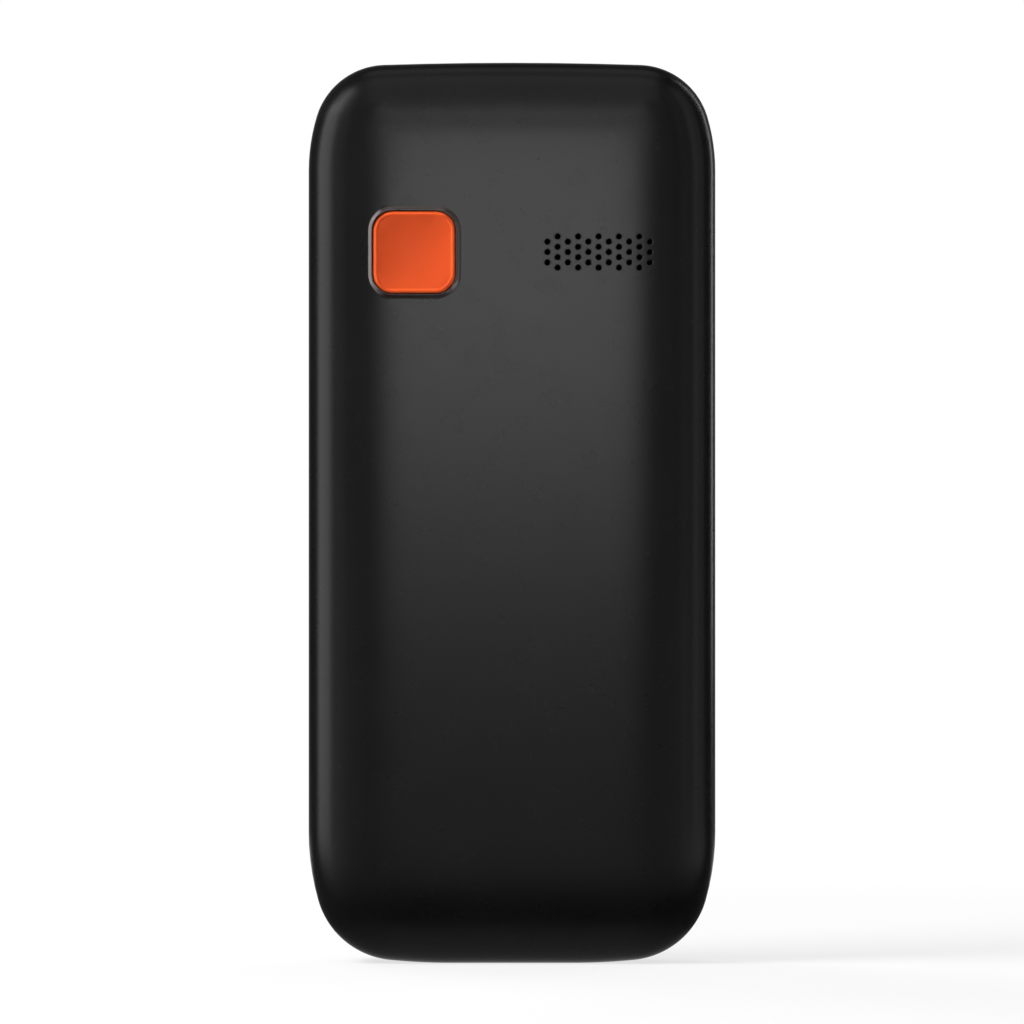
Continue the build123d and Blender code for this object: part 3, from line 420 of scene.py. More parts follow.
def pillow_height(offset=0.0):
    """Depth of the back's skin, or of a layer under it, at points of x and z."""
    insets, depths = pillow_profile(offset)
    return lambda points: np.interp(depth_in(points), insets, depths)


def pillow_rings(offset, turns):
    """Loops of the back's section at chosen turns of its curve, each with its depth."""
    insets, depths = pillow_profile(offset)
    picks = [int(round(turn / PROFILE_DEG * (PROFILE_COUNT - 1))) for turn in turns]
    return [(outline(insets[k]), depths[k]) for k in picks]


# Rear cover and emergency key

KEY_SIZE = 10.41
KEY_CORNER = 2.5
KEY_GAP = 0.11
LIP_WIDTH = 0.6
LIP_CORNER = 3.2
LIP_WALL = 0.1
LIP_CREST = 0.05
LIP_CREST_Y = LIP_Y - 0.01
LIP_FOOT_Y = 6.9
LIP_STEPS = (0.0, 0.05, 0.14, 0.23, 0.32, 0.41, 0.5, LIP_WIDTH, LIP_WIDTH + 0.12, LIP_WIDTH + 0.3)
APERTURE = KEY_SIZE + 2 * KEY_GAP
APERTURE_FLOOR_Y = 6.0
GRILLE_COLUMNS = 11
GRILLE_PITCH_X, GRILLE_PITCH_Z = 1.29, 1.31
GRILLE_RADIUS = 0.33
GRILLE_FLOOR_Y = 6.05
GAUZE_WIDTH, GAUZE_HEIGHT = 15.1, 6.07
COVER_TURNS = (0, 3, 7, 11, 16, 21, 27, 33, 39, 45, 50)
COVER_BANDS = (54, 58, 62)
INNER_TURNS = (0, 6, 14, 24, 36, 48)
COVER_RIM = ((0.0, 1.3), (0.0, 0.6), (0.05, 0.5), (0.15, 0.45), (COVER_WALL, 0.45))
TAB_SHARES = (0.26, 0.5, 0.76)
TAB_HALF = 2.5
TAB_ROOT_X = 24.6
TAB_PROFILE = ((0.0, 0.7), (0.525, 0.75), (0.7, 1.0), (0.7, 1.6), (0.21, 1.9), (0.0, 1.9))


def lip_loop(out):
    """A loop round the key's opening at a distance outside its edge."""
    corner = KEY_CORNER + KEY_GAP + out * (LIP_CORNER - KEY_CORNER - KEY_GAP) / LIP_WIDTH
    return rounded(APERTURE + 2 * out, APERTURE + 2 * out, corner, BUTTON_X, BUTTON_Z, 10)


def lip_height(out, base):
    """Depth of the lip at a distance outside the opening."""
    if out >= LIP_WIDTH:
        return base
    foot = np.maximum(base, LIP_FOOT_Y)
    if out > LIP_WIDTH - LIP_WALL:
        return base + (foot - base) * (LIP_WIDTH - out) / LIP_WALL
    share = 1 - max(0.0, out - LIP_CREST) / (LIP_WIDTH - LIP_WALL - LIP_CREST)
    return foot + (LIP_CREST_Y - foot) * share


def grille_places():
    """Centres of the grille's holes: columns of three and four in turn."""
    places = []
    for column in range(GRILLE_COLUMNS):
        x = GRILLE_X + (column - GRILLE_COLUMNS // 2) * GRILLE_PITCH_X
        count = 4 if column % 2 else 3
        places += [(x, BUTTON_Z + (row - (count - 1) / 2) * GRILLE_PITCH_Z) for row in range(count)]
    return places


def make_cover(skin, dark, gloss):
    """Rear cover: pillowed skin with lip and grille, side wall, rim, inner skin and tabs."""
    shell = Shell()
    bands = [loop for loop, y in pillow_rings(0.0, COVER_BANDS)]
    pockets = [round_pocket(GRILLE_RADIUS, x, z, GRILLE_FLOOR_Y, edge=0.07, slot=1)
               for x, z in grille_places()]
    edge = LIP_STEPS[-1]
    pockets.append(Pocket(lip_loop, APERTURE_FLOOR_Y, edge, [s / edge for s in LIP_STEPS], lip_height))
    wall = [relief(shell, pillow_rings(0.0, COVER_TURNS), pockets, pillow_height(), 1.3, bands=bands)]
    points = np.array(shell.points)
    centres = np.array([points[list(face)].mean(axis=0) for face in shell.faces])[:, [0, 2]]
    # The lip's faces take the third finish, whose red-brown is painted orange bounce light from the key
    # beside it.
    on_lip = inside(centres, lip_loop(LIP_WIDTH - LIP_WALL)) & ~inside(centres, lip_loop(0.0))
    shell.slots = [2 if lip else kept for lip, kept in zip(on_lip, shell.slots)]
    for inset, y in COVER_RIM:
        wall.append(shell.add(at_depth(outline(inset), y)))
    for a, b in zip(wall, wall[1:]):
        shell.bridge(b, a)
    speaker = box_pocket(GAUZE_WIDTH, GAUZE_HEIGHT, 0.4, GRILLE_X, SPEAKER_Z, GRILLE_FLOOR_Y, edge=0.05,
                         closed=True)
    hole = Pocket(lambda e: lip_loop(e * 0.2), APERTURE_FLOOR_Y, edge=0.05)
    rings = pillow_rings(COVER_WALL, INNER_TURNS)
    inner = relief(shell, rings, [speaker, hole], pillow_height(COVER_WALL), 4.0, side=-1)
    shell.bridge(wall[-1], inner)
    for side in (-1, 1):
        for share in TAB_SHARES:
            section = [(side * (TAB_ROOT_X - reach), y) for reach, y in TAB_PROFILE]
            low, high = [shell.add([(x, y, share * HEIGHT + half) for x, y in section])
                         for half in (-TAB_HALF, TAB_HALF)]
            for k in range(len(low) - 1):
                shell.face((low[k], high[k], high[k + 1], low[k + 1]))
            shell.face(low)
            shell.face(high[::-1])
    return shell.build("cover_shell", [skin, dark, gloss])


SOS_RIM = 0.55
SOS_PROFILE = ((0.0, 4.0), (0.0, 6.82), (0.02, 6.9), (0.07, 6.98), (0.14, 7.05), (0.22, 7.1),
               (0.32, 7.13), (0.42, 7.13), (0.49, 7.09), (SOS_RIM, 7.03))
SOS_DISH_INSETS = (0.15, 0.5, 1.0, 1.6, 2.3, 3.0, 3.7, 4.2)
SOS_DISH_Y, SOS_DISH_CURVE, SOS_DISH_RISE = 6.36, 42.0, 0.66
SOS_FLANGE = ((9.0, 3.5), (12.01, 3.5), (12.01, 4.0), (10.0, 4.0))


def make_sos_key(orange, dark):
    """Emergency key: square with a bevelled rim and a dished face, and its hidden flange."""
    shell = Shell()
    rows = stack(KEY_SIZE, KEY_SIZE, lambda i: KEY_CORNER - i * 0.6, BUTTON_X, BUTTON_Z, SOS_PROFILE, 10)
    for inset in SOS_DISH_INSETS:
        size = KEY_SIZE - 2 * (SOS_RIM + inset)
        loop = rounded(size, size, max(KEY_CORNER - 0.32 - inset * 0.45, 0.3), BUTTON_X, BUTTON_Z, 10)
        away = np.hypot(loop[:, 0] - BUTTON_X, loop[:, 1] - BUTTON_Z)
        rows.append(at_depth(loop, SOS_DISH_Y + np.minimum(away**2 / SOS_DISH_CURVE, SOS_DISH_RISE)))
    shell.loft(rows, cap_end=True)
    shell.solid([at_depth(rounded(size, size, 0.6, BUTTON_X, BUTTON_Z), y) for size, y in SOS_FLANGE], 1)
    return shell.build("sos_cap", [orange, dark], 25)


# Materials: one class sets up the shader, and each finish adds its own grain


class Nodes:
    """A node tree under construction."""

    def __init__(self, tree, place):
        self.tree = tree
        self.place = self.node("TexCoord").outputs[place]

    def feed(self, socket, value):
        """Sets a socket to a constant, or links it to an output."""
        if isinstance(value, (int, float, tuple)):
            socket.default_value = value
        else:
            self.tree.links.new(value, socket)

    def node(self, kind, inputs=(), **values):
        """A node with its settings and with what its inputs get, by name or number."""
        node = self.tree.nodes.new("ShaderNode" + kind)
        for name, value in values.items():
            setattr(node, name, value)
        for key, value in dict(inputs).items():
            self.feed(node.inputs[key], value)
        return node

    def ramp(self, value, low, high, start=0.35, end=0.65, curve="LINEAR"):
        """Maps a value from start to end onto low to high."""
        inputs = {"Value": value, "From Min": start, "From Max": end, "To Min": low, "To Max": high}
        return self.node("MapRange", inputs, interpolation_type=curve).outputs["Result"]

    def math(self, a, operation, b=0.0):
        """One step of arithmetic on values or numbers."""
        return self.node("Math", {0: a, 1: b}, operation=operation).outputs[0]

    def axis(self, index):
        """One of the coordinates."""
        return self.node("SeparateXYZ", {0: self.place}).outputs[index]

    def off(self, index, middle_mm=0.0):
        """Distance from a middle along one axis, in metres."""
        return self.math(self.math(self.axis(index), "SUBTRACT", middle_mm * MM), "ABSOLUTE")


class Finish(Nodes):
    """A node material under construction, with short ways to add procedural detail."""

    def __init__(self, name, colour, rough, metal=0.0, **sockets):
        self.material = bpy.data.materials.new(name)
        self.material.use_nodes = True
        super().__init__(self.material.node_tree, "Object")
        self.shader = self.tree.nodes["Principled BSDF"]
        sockets.update(Base_Color=(*colour, 1), Roughness=rough, Metallic=metal)
        for socket, value in sockets.items():
            self.feed(self.shader.inputs[socket.replace("_", " ")], value)
        self.bump_from = None

    def texture(self, kind, size_mm, inputs=(), **values):
        """The outputs of a texture whose features measure about size_mm."""
        inputs = {"Scale": 1 / (size_mm * MM), "Vector": self.place, **dict(inputs)}
        return self.node("Tex" + kind, inputs, **values).outputs

    def noise(self, size_mm, detail=3.0, scale=(1, 1, 1)):
        """Soft lumps, drawn out by a scale along each axis."""
        place = self.node("Mapping", {"Scale": scale, "Vector": self.place}).outputs["Vector"]
        return self.texture("Noise", size_mm, {"Vector": place, "Detail": detail})["Fac"]

    def cells(self, size_mm, feature="F1"):
        """Rounded cells."""
        return self.texture("Voronoi", size_mm, feature=feature)["Distance"]

    def tint(self, value, low, high, start=0.35, end=0.65):
        """Colour from low to high by a value, set on the base colour."""
        share = self.ramp(value, 0, 1, start, end)
        mix = self.node("Mix", {"A": (*low, 1), "B": (*high, 1), "Factor": share}, data_type="RGBA")
        self.feed(self.shader.inputs["Base Color"], mix.outputs["Result"])

    def vary(self, value, low, high):
        """Roughness from low to high by a value."""
        self.feed(self.shader.inputs["Roughness"], self.ramp(value, low, high))

    def bump(self, value, height_mm):
        """Relief from a value, on top of any relief added before."""
        inputs = {"Strength": 1.0, "Distance": height_mm * MM, "Height": value}
        if self.bump_from:
            inputs["Normal"] = self.bump_from
        self.bump_from = self.node("Bump", inputs).outputs["Normal"]
        self.feed(self.shader.inputs["Normal"], self.bump_from)


def shade(colour, factor):
    """A colour made lighter or darker."""
    return tuple(min(1.0, c * factor) for c in colour)


def moulded(name, colour, rough, grain_mm=0.25, grain_height=0.004, spread=0.02, metal=0.0, **sockets):
    """Moulded plastic: fine spark grain, faint cloudiness and uneven gloss."""
    finish = Finish(name, colour, rough, metal, **sockets)
    finish.tint(finish.noise(9.0, 2.0), shade(colour, 0.9), shade(colour, 1.1))
    finish.vary(finish.noise(3.0, 4.0), rough - spread, rough + spread)
    finish.bump(finish.noise(grain_mm, 3.0), grain_height)
    return finish.material


def metal(name, colour, rough, brush=(1, 1, 30), brush_mm=0.6, height=0.002):
    """Rolled or plated metal with fine brushing along one axis and faint stains."""
    finish = Finish(name, colour, rough, metal=1.0)
    finish.tint(finish.noise(2.5, 3.0), shade(colour, 0.85), shade(colour, 1.08))
    finish.vary(finish.noise(brush_mm, 4.0, brush), rough - 0.07, rough + 0.1)
    finish.bump(finish.noise(brush_mm, 4.0, brush), height)
    return finish.material


def rubbery(name, colour, rough=0.75, cell_mm=0.35, height=0.02):
    """Foam or silicone with a soft cellular surface."""
    finish = Finish(name, colour, rough)
    finish.tint(finish.noise(0.8, 4.0), shade(colour, 0.75), shade(colour, 1.25))
    finish.bump(finish.cells(cell_mm), height)
    return finish.material


def woven(name, colour, rough, mesh_mm=0.22):
    """Fine woven wire: crossed waves as relief, with painted shade in the holes between the wires."""
    finish = Finish(name, colour, rough, metal=1.0)
    crossed = None
    for direction in ("X", "Z"):
        wave = finish.texture("Wave", mesh_mm / 0.314, bands_direction=direction)["Fac"]
        crossed = wave if crossed is None else finish.math(crossed, "MAXIMUM", wave)
    # Painted shade: the holes between the wires are darkened to 8 percent of the wire's colour.
    finish.tint(crossed, shade(colour, 0.08), colour, 0.45, 0.75)
    finish.vary(finish.noise(1.0), rough - 0.05, rough + 0.1)
    finish.bump(crossed, 0.04)
    return finish.material


def board_finish():
    """Circuit board: green solder mask with faint copper tracks under it."""
    finish = Finish("board_mask", (0.02, 0.13, 0.05), 0.35, Coat_Weight=0.3)
    finish.tint(finish.cells(1.1, "DISTANCE_TO_EDGE"), (0.035, 0.2, 0.08), (0.015, 0.11, 0.045), 0.02, 0.06)
    finish.vary(finish.noise(3.0), 0.3, 0.42)
    finish.bump(finish.noise(0.4), 0.006)
    return finish.material


def clear_finish():
    """Clear moulded plastic."""
    finish = Finish("clear_lens", (0.95, 0.96, 0.96), 0.06, Transmission_Weight=0.92, IOR=1.49)
    finish.vary(finish.noise(1.0), 0.04, 0.1)
    finish.bump(finish.noise(1.2), 0.002)
    return finish.material


def display_finish():
    """Switched off display: near black with a faint cloud of the polariser."""
    finish = Finish("display_film", (0.012, 0.014, 0.016), 0.12)
    finish.tint(finish.noise(12.0), (0.01, 0.012, 0.014), (0.015, 0.018, 0.02))
    finish.vary(finish.noise(2.0), 0.1, 0.16)
    return finish.material


def sleeve_finish():
    """Shrunk plastic sleeve of the battery: soft ripples, faint cloud and a satin gloss."""
    finish = Finish("battery_sleeve", (0.07, 0.075, 0.082), 0.34, Coat_Weight=0.2)
    finish.tint(finish.noise(14.0, 2.0), (0.062, 0.067, 0.074), (0.08, 0.086, 0.093))
    finish.vary(finish.noise(4.0, 3.0), 0.3, 0.4)
    finish.bump(finish.noise(5.0, 2.0, (1, 1, 0.4)), 0.06)
    finish.bump(finish.noise(0.3, 3.0), 0.003)
    return finish.material


def orange_finish():
    """Bright moulded orange, a little lighter on the rim than in the dish: a painted highlight."""
    finish = Finish("orange_plastic", (0.72, 0.08, 0.015), 0.42, Specular_IOR_Level=0.06)
    # Painted highlight: beyond about 4.6 mm from the key's middle the rim gets a lighter orange than the
    # dish.
    outward = finish.math(finish.off(0, BUTTON_X), "MAXIMUM", finish.off(2, BUTTON_Z))
    edge = finish.math(outward, "ADD", finish.math(finish.noise(1.5), "MULTIPLY", 0.00005))
    finish.tint(edge, (0.72, 0.083, 0.018), (0.95, 0.12, 0.025), 0.00458, 0.00472)
    finish.vary(finish.noise(2.0, 4.0), 0.39, 0.45)
    finish.bump(finish.noise(0.2, 3.0), 0.001)
    return finish.material


def window_finish():
    """Clear window over a dark display, with a black printed border."""
    finish = Finish("window_print", (0.004, 0.004, 0.005), 0.05, Coat_Weight=0.3)
    x = finish.math(finish.off(0), "SUBTRACT", DISPLAY_HALF_WIDTH * MM)
    z = finish.math(finish.off(2, WINDOW_Z), "SUBTRACT", DISPLAY_HALF_HEIGHT * MM)
    edge = finish.math(x, "MAXIMUM", z)
    finish.tint(edge, (0.016, 0.019, 0.021), (0.0025, 0.0025, 0.003), -0.00008, 0.00008)
    finish.vary(finish.noise(6.0), 0.04, 0.07)
    return finish.material


# Camera and lights, in metres and watts

CAMERA_DISTANCE = 0.9
SENSOR_MM = 36
IMAGE_PIXELS = 1024
PIXEL_MM = HEIGHT / 900.0
FOOT_ROW = 962.8
CAMERA_Z = (FOOT_ROW - IMAGE_PIXELS / 2) * PIXEL_MM


def make_camera():
    """Camera square to the back, at the photograph's scale on the outline's plane."""
    data = bpy.data.cameras.new("camera")
    data.sensor_width = SENSOR_MM
    data.lens = SENSOR_MM * CAMERA_DISTANCE / (IMAGE_PIXELS * PIXEL_MM * MM)
    data.clip_start, data.clip_end = 0.05, 20
    camera = spawn("camera", data)
    camera.location = (0, CAMERA_DISTANCE + SHOULDER_Y * MM, CAMERA_Z * MM)
    camera.rotation_euler = (radians(90), 0, radians(180))
    bpy.context.scene.camera = camera
    bpy.context.scene.view_settings.view_transform = "Standard"


MIDDLE_Z = 0.057
PANEL_Y = 0.4
STRIP_AWAY = 0.4
OVERHEAD_AWAY = 0.6
PANEL_SIZE = 0.11, 0.035
STRIP_SIZE = 0.05, 0.6
OVERHEAD_SIZE = 0.4, 0.2
FRONT_SIZE = 0.35, 0.35
LOW_SIZE = 0.3, 0.16

# Lamps by height above the middle, by turn from the back's axis with height, by turn or by x,
# each with its power
PANELS = ((0.27, 0.03), (0.2, 0.085), (0.11, 0.12), (0.045, 0.145), (0.015, 0.037))
STRIPS = ((25, 0.06, 0.045), (40, 0.2, 0.085), (57, 0.28, 0.42), (64, 0.06, 0.31), (71, 0.06, 0.4),
          (78, 0.06, 0.42), (-25, 0.06, 0.045), (-40, 0.2, 0.07), (-57, 0.3, 0.16), (-70, 0.3, 0.1),
          (-114, 0.33, 0.66))
OVERHEADS = ((45, 0.22), (65, 0.26), (90, 0.19))
FRONTS = ((0.4, 3.0), (-0.45, 1.7))
FRONT_GLOSS = 0.22
KEY_LAMP_POWER = 5.1
CORNER_LAMP_POWER = 0.3
LOW_LAMP_POWER = 0.3


def make_lamp(name, place, size, power, target_z=MIDDLE_Z, diffuse=True, glossy=True):
    """A soft rectangular lamp turned to the middle axis, for matt light, for gloss or for both."""
    data = bpy.data.lights.new(name, "AREA")
    data.shape = "RECTANGLE"
    data.size, data.size_y = size
    data.energy = power
    lamp = spawn(name, data)
    lamp.location = place
    lamp.rotation_euler = (Vector((0, 0, target_z)) - Vector(place)).to_track_quat("-Z", "Y").to_euler()
    lamp.visible_camera = False
    lamp.visible_diffuse = diffuse
    lamp.visible_glossy = glossy


def make_lights():
    """Soft studio lamps: a graded panel before the back, strips beside it, lamps above and in front."""
    for i, (up, power) in enumerate(PANELS):
        z = MIDDLE_Z + up
        make_lamp(f"panel_{i}", (0, PANEL_Y, z), PANEL_SIZE, power, z, diffuse=False)
    for i, (turn, z, power) in enumerate(STRIPS):
        turn = radians(turn)
        place = (STRIP_AWAY * sin(turn), STRIP_AWAY * cos(turn), z)
        make_lamp(f"strip_{i}", place, STRIP_SIZE, power, z, diffuse=False)
    for i, (turn, power) in enumerate(OVERHEADS):
        turn = radians(turn)
        place = (0, OVERHEAD_AWAY * cos(turn), MIDDLE_Z + OVERHEAD_AWAY * sin(turn))
        make_lamp(f"overhead_{i}", place, OVERHEAD_SIZE, power)
    for i, (x, power) in enumerate(FRONTS):
        place = (x, -0.5, 0.38)
        make_lamp(f"front_{i}", place, FRONT_SIZE, power, glossy=False)
        make_lamp(f"front_gloss_{i}", place, FRONT_SIZE, power * FRONT_GLOSS, diffuse=False)
    for side in (-1, 1):
        make_lamp(f"low_{side + 1}", (side * 0.3, 0.3, -0.1), LOW_SIZE, LOW_LAMP_POWER, diffuse=False)
    make_lamp("key_lamp", (0.394, 0.176, 0.474), (0.3, 0.3), KEY_LAMP_POWER, glossy=False)
    make_lamp("corner_lamp", (0.33, 0.18, 0.387), (0.2, 0.2), CORNER_LAMP_POWER, diffuse=False)


def make_world():
    """White for what the camera sees, and for gloss pale behind and below the object and dim elsewhere."""
    world = bpy.data.worlds.new("studio")
    bpy.context.scene.world = world
    world.use_nodes = True
    nodes = Nodes(world.node_tree, "Generated")
    ray = nodes.node("LightPath").outputs
    behind = nodes.ramp(nodes.axis(1), 0.05, 0.3, -0.55, -0.97, "SMOOTHSTEP")
    below = nodes.ramp(nodes.axis(2), 0.0, 0.6, -0.12, -0.36, "SMOOTHSTEP")
    pale = nodes.math(behind, "MAXIMUM", below)
    gloss = nodes.ramp(ray["Is Glossy Ray"], 0.2, pale, 0, 1)
    seen = nodes.math(ray["Is Camera Ray"], "MAXIMUM", ray["Is Transmission Ray"])
    back = nodes.tree.nodes["Background"]
    nodes.feed(back.inputs["Color"], (1, 1, 1, 1))
    nodes.feed(back.inputs["Strength"], nodes.ramp(seen, gloss, 1.0, 0, 1))


FLOOR_RADIUS = 220.0
FLOOR_SIDES = 96


def make_floor():
    """Pale studio floor that stays near white to the camera, keeps a soft shadow and glosses in patches."""
    shell = Shell()
    loop = round_loop(FLOOR_RADIUS, 0, 0, FLOOR_SIDES)
    shell.loft([np.column_stack([loop, np.zeros(FLOOR_SIDES)])], cap_end=True)
    finish = Finish("studio_floor", (0.7, 0.7, 0.7), 0.6)
    finish.vary(finish.noise(40, 3), 0.55, 0.65)
    ray = finish.node("LightPath").outputs
    away = finish.node("VectorMath", {0: finish.place}, operation="LENGTH").outputs["Value"]
    rim = FLOOR_RADIUS * MM
    to_camera = finish.ramp(away, 0.72, 1.0, rim * 0.45, rim * 0.98)
    across, depth = finish.off(0), finish.axis(1)
    under = finish.ramp(depth, 0.95, 0.03, -0.002, 0.018)
    ahead = finish.ramp(depth, 0.0, 0.62, 0.055, 0.12)
    corner = finish.math(finish.ramp(across, 0.0, 0.85, 0.014, 0.028), "MULTIPLY",
                         finish.ramp(depth, 0.0, 1.0, -0.07, -0.045))
    under = finish.math(under, "MULTIPLY", finish.math(1.0, "SUBTRACT", corner))
    diagonal = finish.math(finish.ramp(across, 0.0, 1.9, 0.055, 0.11), "MULTIPLY",
                           finish.ramp(depth, 0.0, 1.0, 0.01, 0.04))
    to_gloss = finish.math(finish.math(under, "ADD", ahead), "MAXIMUM", diagonal)
    glow = finish.node("Emission", {"Strength": finish.ramp(ray["Is Glossy Ray"], 1.0, to_gloss, 0, 1)})
    camera = finish.math(ray["Is Camera Ray"], "MULTIPLY", to_camera)
    share = finish.math(camera, "MAXIMUM", ray["Is Glossy Ray"])
    mix = finish.node("MixShader", {0: share, 1: finish.shader.outputs[0], 2: glow.outputs[0]})
    finish.feed(finish.tree.nodes["Material Output"].inputs["Surface"], mix.outputs[0])
    shell.build("studio_floor", [finish.material])


# Front housing

WINDOW_Z = 79.2
WINDOW_WIDTH, WINDOW_HEIGHT = 42.8, 39.4
WINDOW_ROOM = 0.2
DISPLAY_HALF_WIDTH, DISPLAY_HALF_HEIGHT = 14.5, 18.0
KEY_PITCH_X = 14.3
KEY_PITCH_Z = 8.6
LOWEST_KEY_Z = 11.2
KEY_WIDTH = 13.4
KEY_HEIGHT = 7.5
CLUSTER_Z = 49.9
CLUSTER_HEIGHT = 15.0
UPPER_KEY_Z, LOWER_KEY_Z = 53.875, 45.925
ROW_WIDTH = 42.3
ROW_ROOM = 0.3
CAP_CORNER = 2.1
EAR_Z = 105.2
EAR_WIDTH, EAR_HEIGHT = 10.0, 1.6
MIC_X, MIC_Z = 10.5, 4.3
JACK_X, JACK_Y, JACK_RADIUS = -11.0, -2.1, 2.15
TORCH_X, TORCH_Y, TORCH_RADIUS = 0.01, -1.9, 1.75
PORT_Y = -3.1
PORT_WIDTH, PORT_HEIGHT = 7.9, 3.0
FACE_EDGE = 1.8
FACE_INNER_Y = -5.3
WINDOW_FLOOR_Y = -5.65
HOUSING_WALL = 1.3
END_EDGE = 0.2


class Wall:
    """The housing's side wall, unrolled along the outline so that holes can be cut in its ends."""

    def __init__(self):
        self.loop = np.vstack([EDGE, EDGE[:1]])
        self.steps = np.diff(self.loop, axis=0)
        self.run = np.concatenate([[0], np.cumsum(np.hypot(*self.steps.T))])

    def along_top(self, x):
        """Distance along the outline of the point at x on the top end."""
        near = self.loop[:, 1] > HEIGHT - 8
        return np.interp(-x, -self.loop[near, 0], self.run[near])

    def row(self, y):
        """Points along the whole wall at a depth, or at one depth per point."""
        return np.column_stack([self.run, np.broadcast_to(y, self.run.shape)])

    def lift(self, flat, depth=0.0):
        """Points of the unrolled wall, as run and y, back in space and pushed in by a depth."""
        x = np.interp(flat[:, 0], self.run, self.loop[:, 0])
        z = np.interp(flat[:, 0], self.run, self.loop[:, 1])
        step = self.steps[np.clip(np.searchsorted(self.run, flat[:, 0], "right") - 1, 0, len(self.run) - 2)]
        step /= np.hypot(*step.T)[:, None]
        return np.column_stack([x - step[:, 1] * depth, flat[:, 1], z + step[:, 0] * depth])


def end_bevel(out, skin):
    """Depth of the bevel round a hole in the wall at a distance outside it."""
    return skin + np.interp(out, (0.0, 0.05, END_EDGE), (END_EDGE, 0.1, 0.0))


def make_housing(skin, dark):
    """Front housing: face with its openings, rounded edge, side wall with end holes, and rim."""
    shell = Shell()
    turns = [radians(turn) for turn in (0, 14, 28, 42, 56, 70, 82, 90)]
    rings = [(outline(FACE_EDGE * (1 - cos(t))), FACE_Y + FACE_EDGE * (1 - sin(t))) for t in turns]
    pockets = [box_pocket(WINDOW_WIDTH + WINDOW_ROOM, WINDOW_HEIGHT + WINDOW_ROOM, 2.5, 0, WINDOW_Z,
                          WINDOW_FLOOR_Y, edge=0.15, closed=True)]
    rows = [(KEY_HEIGHT, LOWEST_KEY_Z + row * KEY_PITCH_Z) for row in range(4)]
    for height, z in rows + [(CLUSTER_HEIGHT, CLUSTER_Z)]:
        pockets.append(box_pocket(ROW_WIDTH, height + ROW_ROOM, CAP_CORNER + 0.15, 0, z, FACE_INNER_Y,
                                  edge=0.25))
    pockets.append(box_pocket(EAR_WIDTH, EAR_HEIGHT, EAR_HEIGHT / 2 - 1e-3, 0, EAR_Z, FACE_INNER_Y,
                              edge=0.3))
    pockets.append(round_pocket(0.5, MIC_X, MIC_Z, FACE_INNER_Y, edge=0.15, closed=True, slot=1))
    relief(shell, rings, pockets, lambda points: np.full(len(points), FACE_Y), 6.0, side=-1)
    wall = Wall()
    notch = smooth_step(NOTCH_HALF + 0.4, NOTCH_HALF - 0.2, np.abs(wall.loop[:, 1] - NOTCH_Z))
    notch *= wall.loop[:, 0] > HALF - 2
    top = PARTING_Y - 0.1 - 0.5 * notch
    bevel = {"edge": END_EDGE, "steps": (0.0, 0.25, 1.0), "shape": end_bevel}
    port = (wall.run[-2] + wall.run[-1]) / 2
    holes = [round_pocket(JACK_RADIUS, wall.along_top(JACK_X), JACK_Y, HOUSING_WALL, **bevel),
             round_pocket(TORCH_RADIUS, wall.along_top(TORCH_X), TORCH_Y, HOUSING_WALL, **bevel),
             box_pocket(PORT_WIDTH, PORT_HEIGHT, 0.9, port, PORT_Y, HOUSING_WALL, **bevel)]
    edges = np.vstack([wall.row(FACE_Y + FACE_EDGE), wall.row(top)[::-1]])
    relief(shell, [(edges, 0.0)], holes, lambda points: np.zeros(len(points)), 1.0,
           bands=[wall.row(-1.5)[1:-1]], grid=False, lift=wall.lift)
    step = 0.7 * notch
    rim = ((0.0, top), (0.05 + step, top + 0.07), (0.15 + step, PARTING_Y - 0.5 * notch),
           (0.16 + step, PARTING_Y), (HOUSING_WALL, PARTING_Y), (HOUSING_WALL, -3.0))
    shell.loft([wall.lift(wall.row(y), depth)[:-1] for depth, y in rim])
    return shell.build("housing_shell", [skin, dark], 32)


WINDOW_PROFILE = ((0.0, -5.66), (0.0, -6.35), (0.04, -6.46), (0.12, -6.53), (0.25, -6.55), (1.0, -6.55))


def make_window(glass):
    """Display window with rounded edges."""
    shell = Shell()
    shell.solid(stack(WINDOW_WIDTH, WINDOW_HEIGHT, lambda i: 2.4 - i, 0, WINDOW_Z, WINDOW_PROFILE))
    return shell.build("window_glass", [glass])


# Keys

CAP_TOP_Y = -7.15
CAP_BASE_Y, FLANGE_BASE_Y, STEM_BASE_Y = -5.25, -4.8, -4.25
CROWN_DROP = 0.22
CROWN_REACH = 2.3
CROWN_STEPS = 8
BEVEL = 0.24
ROCKER_DISH = 0.3
PRINT_THICK = 0.02


def make_cap(name, width, height, x, z, skin, dark, dish=0.0):
    """One key cap with rounded corners, a soft crown and its hidden flange and stem."""
    shell = Shell()
    flange = rounded(width + 0.7, height + 0.7, 0.6, x, z)
    shell.solid([at_depth(flange, y) for y in (FLANGE_BASE_Y, CAP_BASE_Y)], 1)
    edge_y = CAP_TOP_Y + CROWN_DROP
    profile = [(0.0, CAP_BASE_Y), (0.0, edge_y + 0.32), (0.04, edge_y + 0.18), (0.12, edge_y + 0.07),
               (BEVEL, edge_y)]
    for k in range(1, CROWN_STEPS + 1):
        share = k / CROWN_STEPS
        profile.append((BEVEL + share * CROWN_REACH, edge_y - CROWN_DROP * sin(pi / 2 * share)))
    rows = stack(width, height, lambda i: max(CAP_CORNER - i * 0.75, 0.4), x, z, profile)
    shell.loft(rows, cap_end=True)
    if dish:
        shell.points = [(px, py + dish * max(0.0, 1 - ((pz - z) / 5.5) ** 2) * (py < -6.8), pz)
                        for px, py, pz in shell.points]
    else:
        stem = rounded(3.0, 3.0, 0.3, x, z)
        shell.loft([at_depth(stem, y) for y in (FLANGE_BASE_Y, STEM_BASE_Y)], 1, cap_end=True)
    return shell.build(name, [skin, dark], 30)


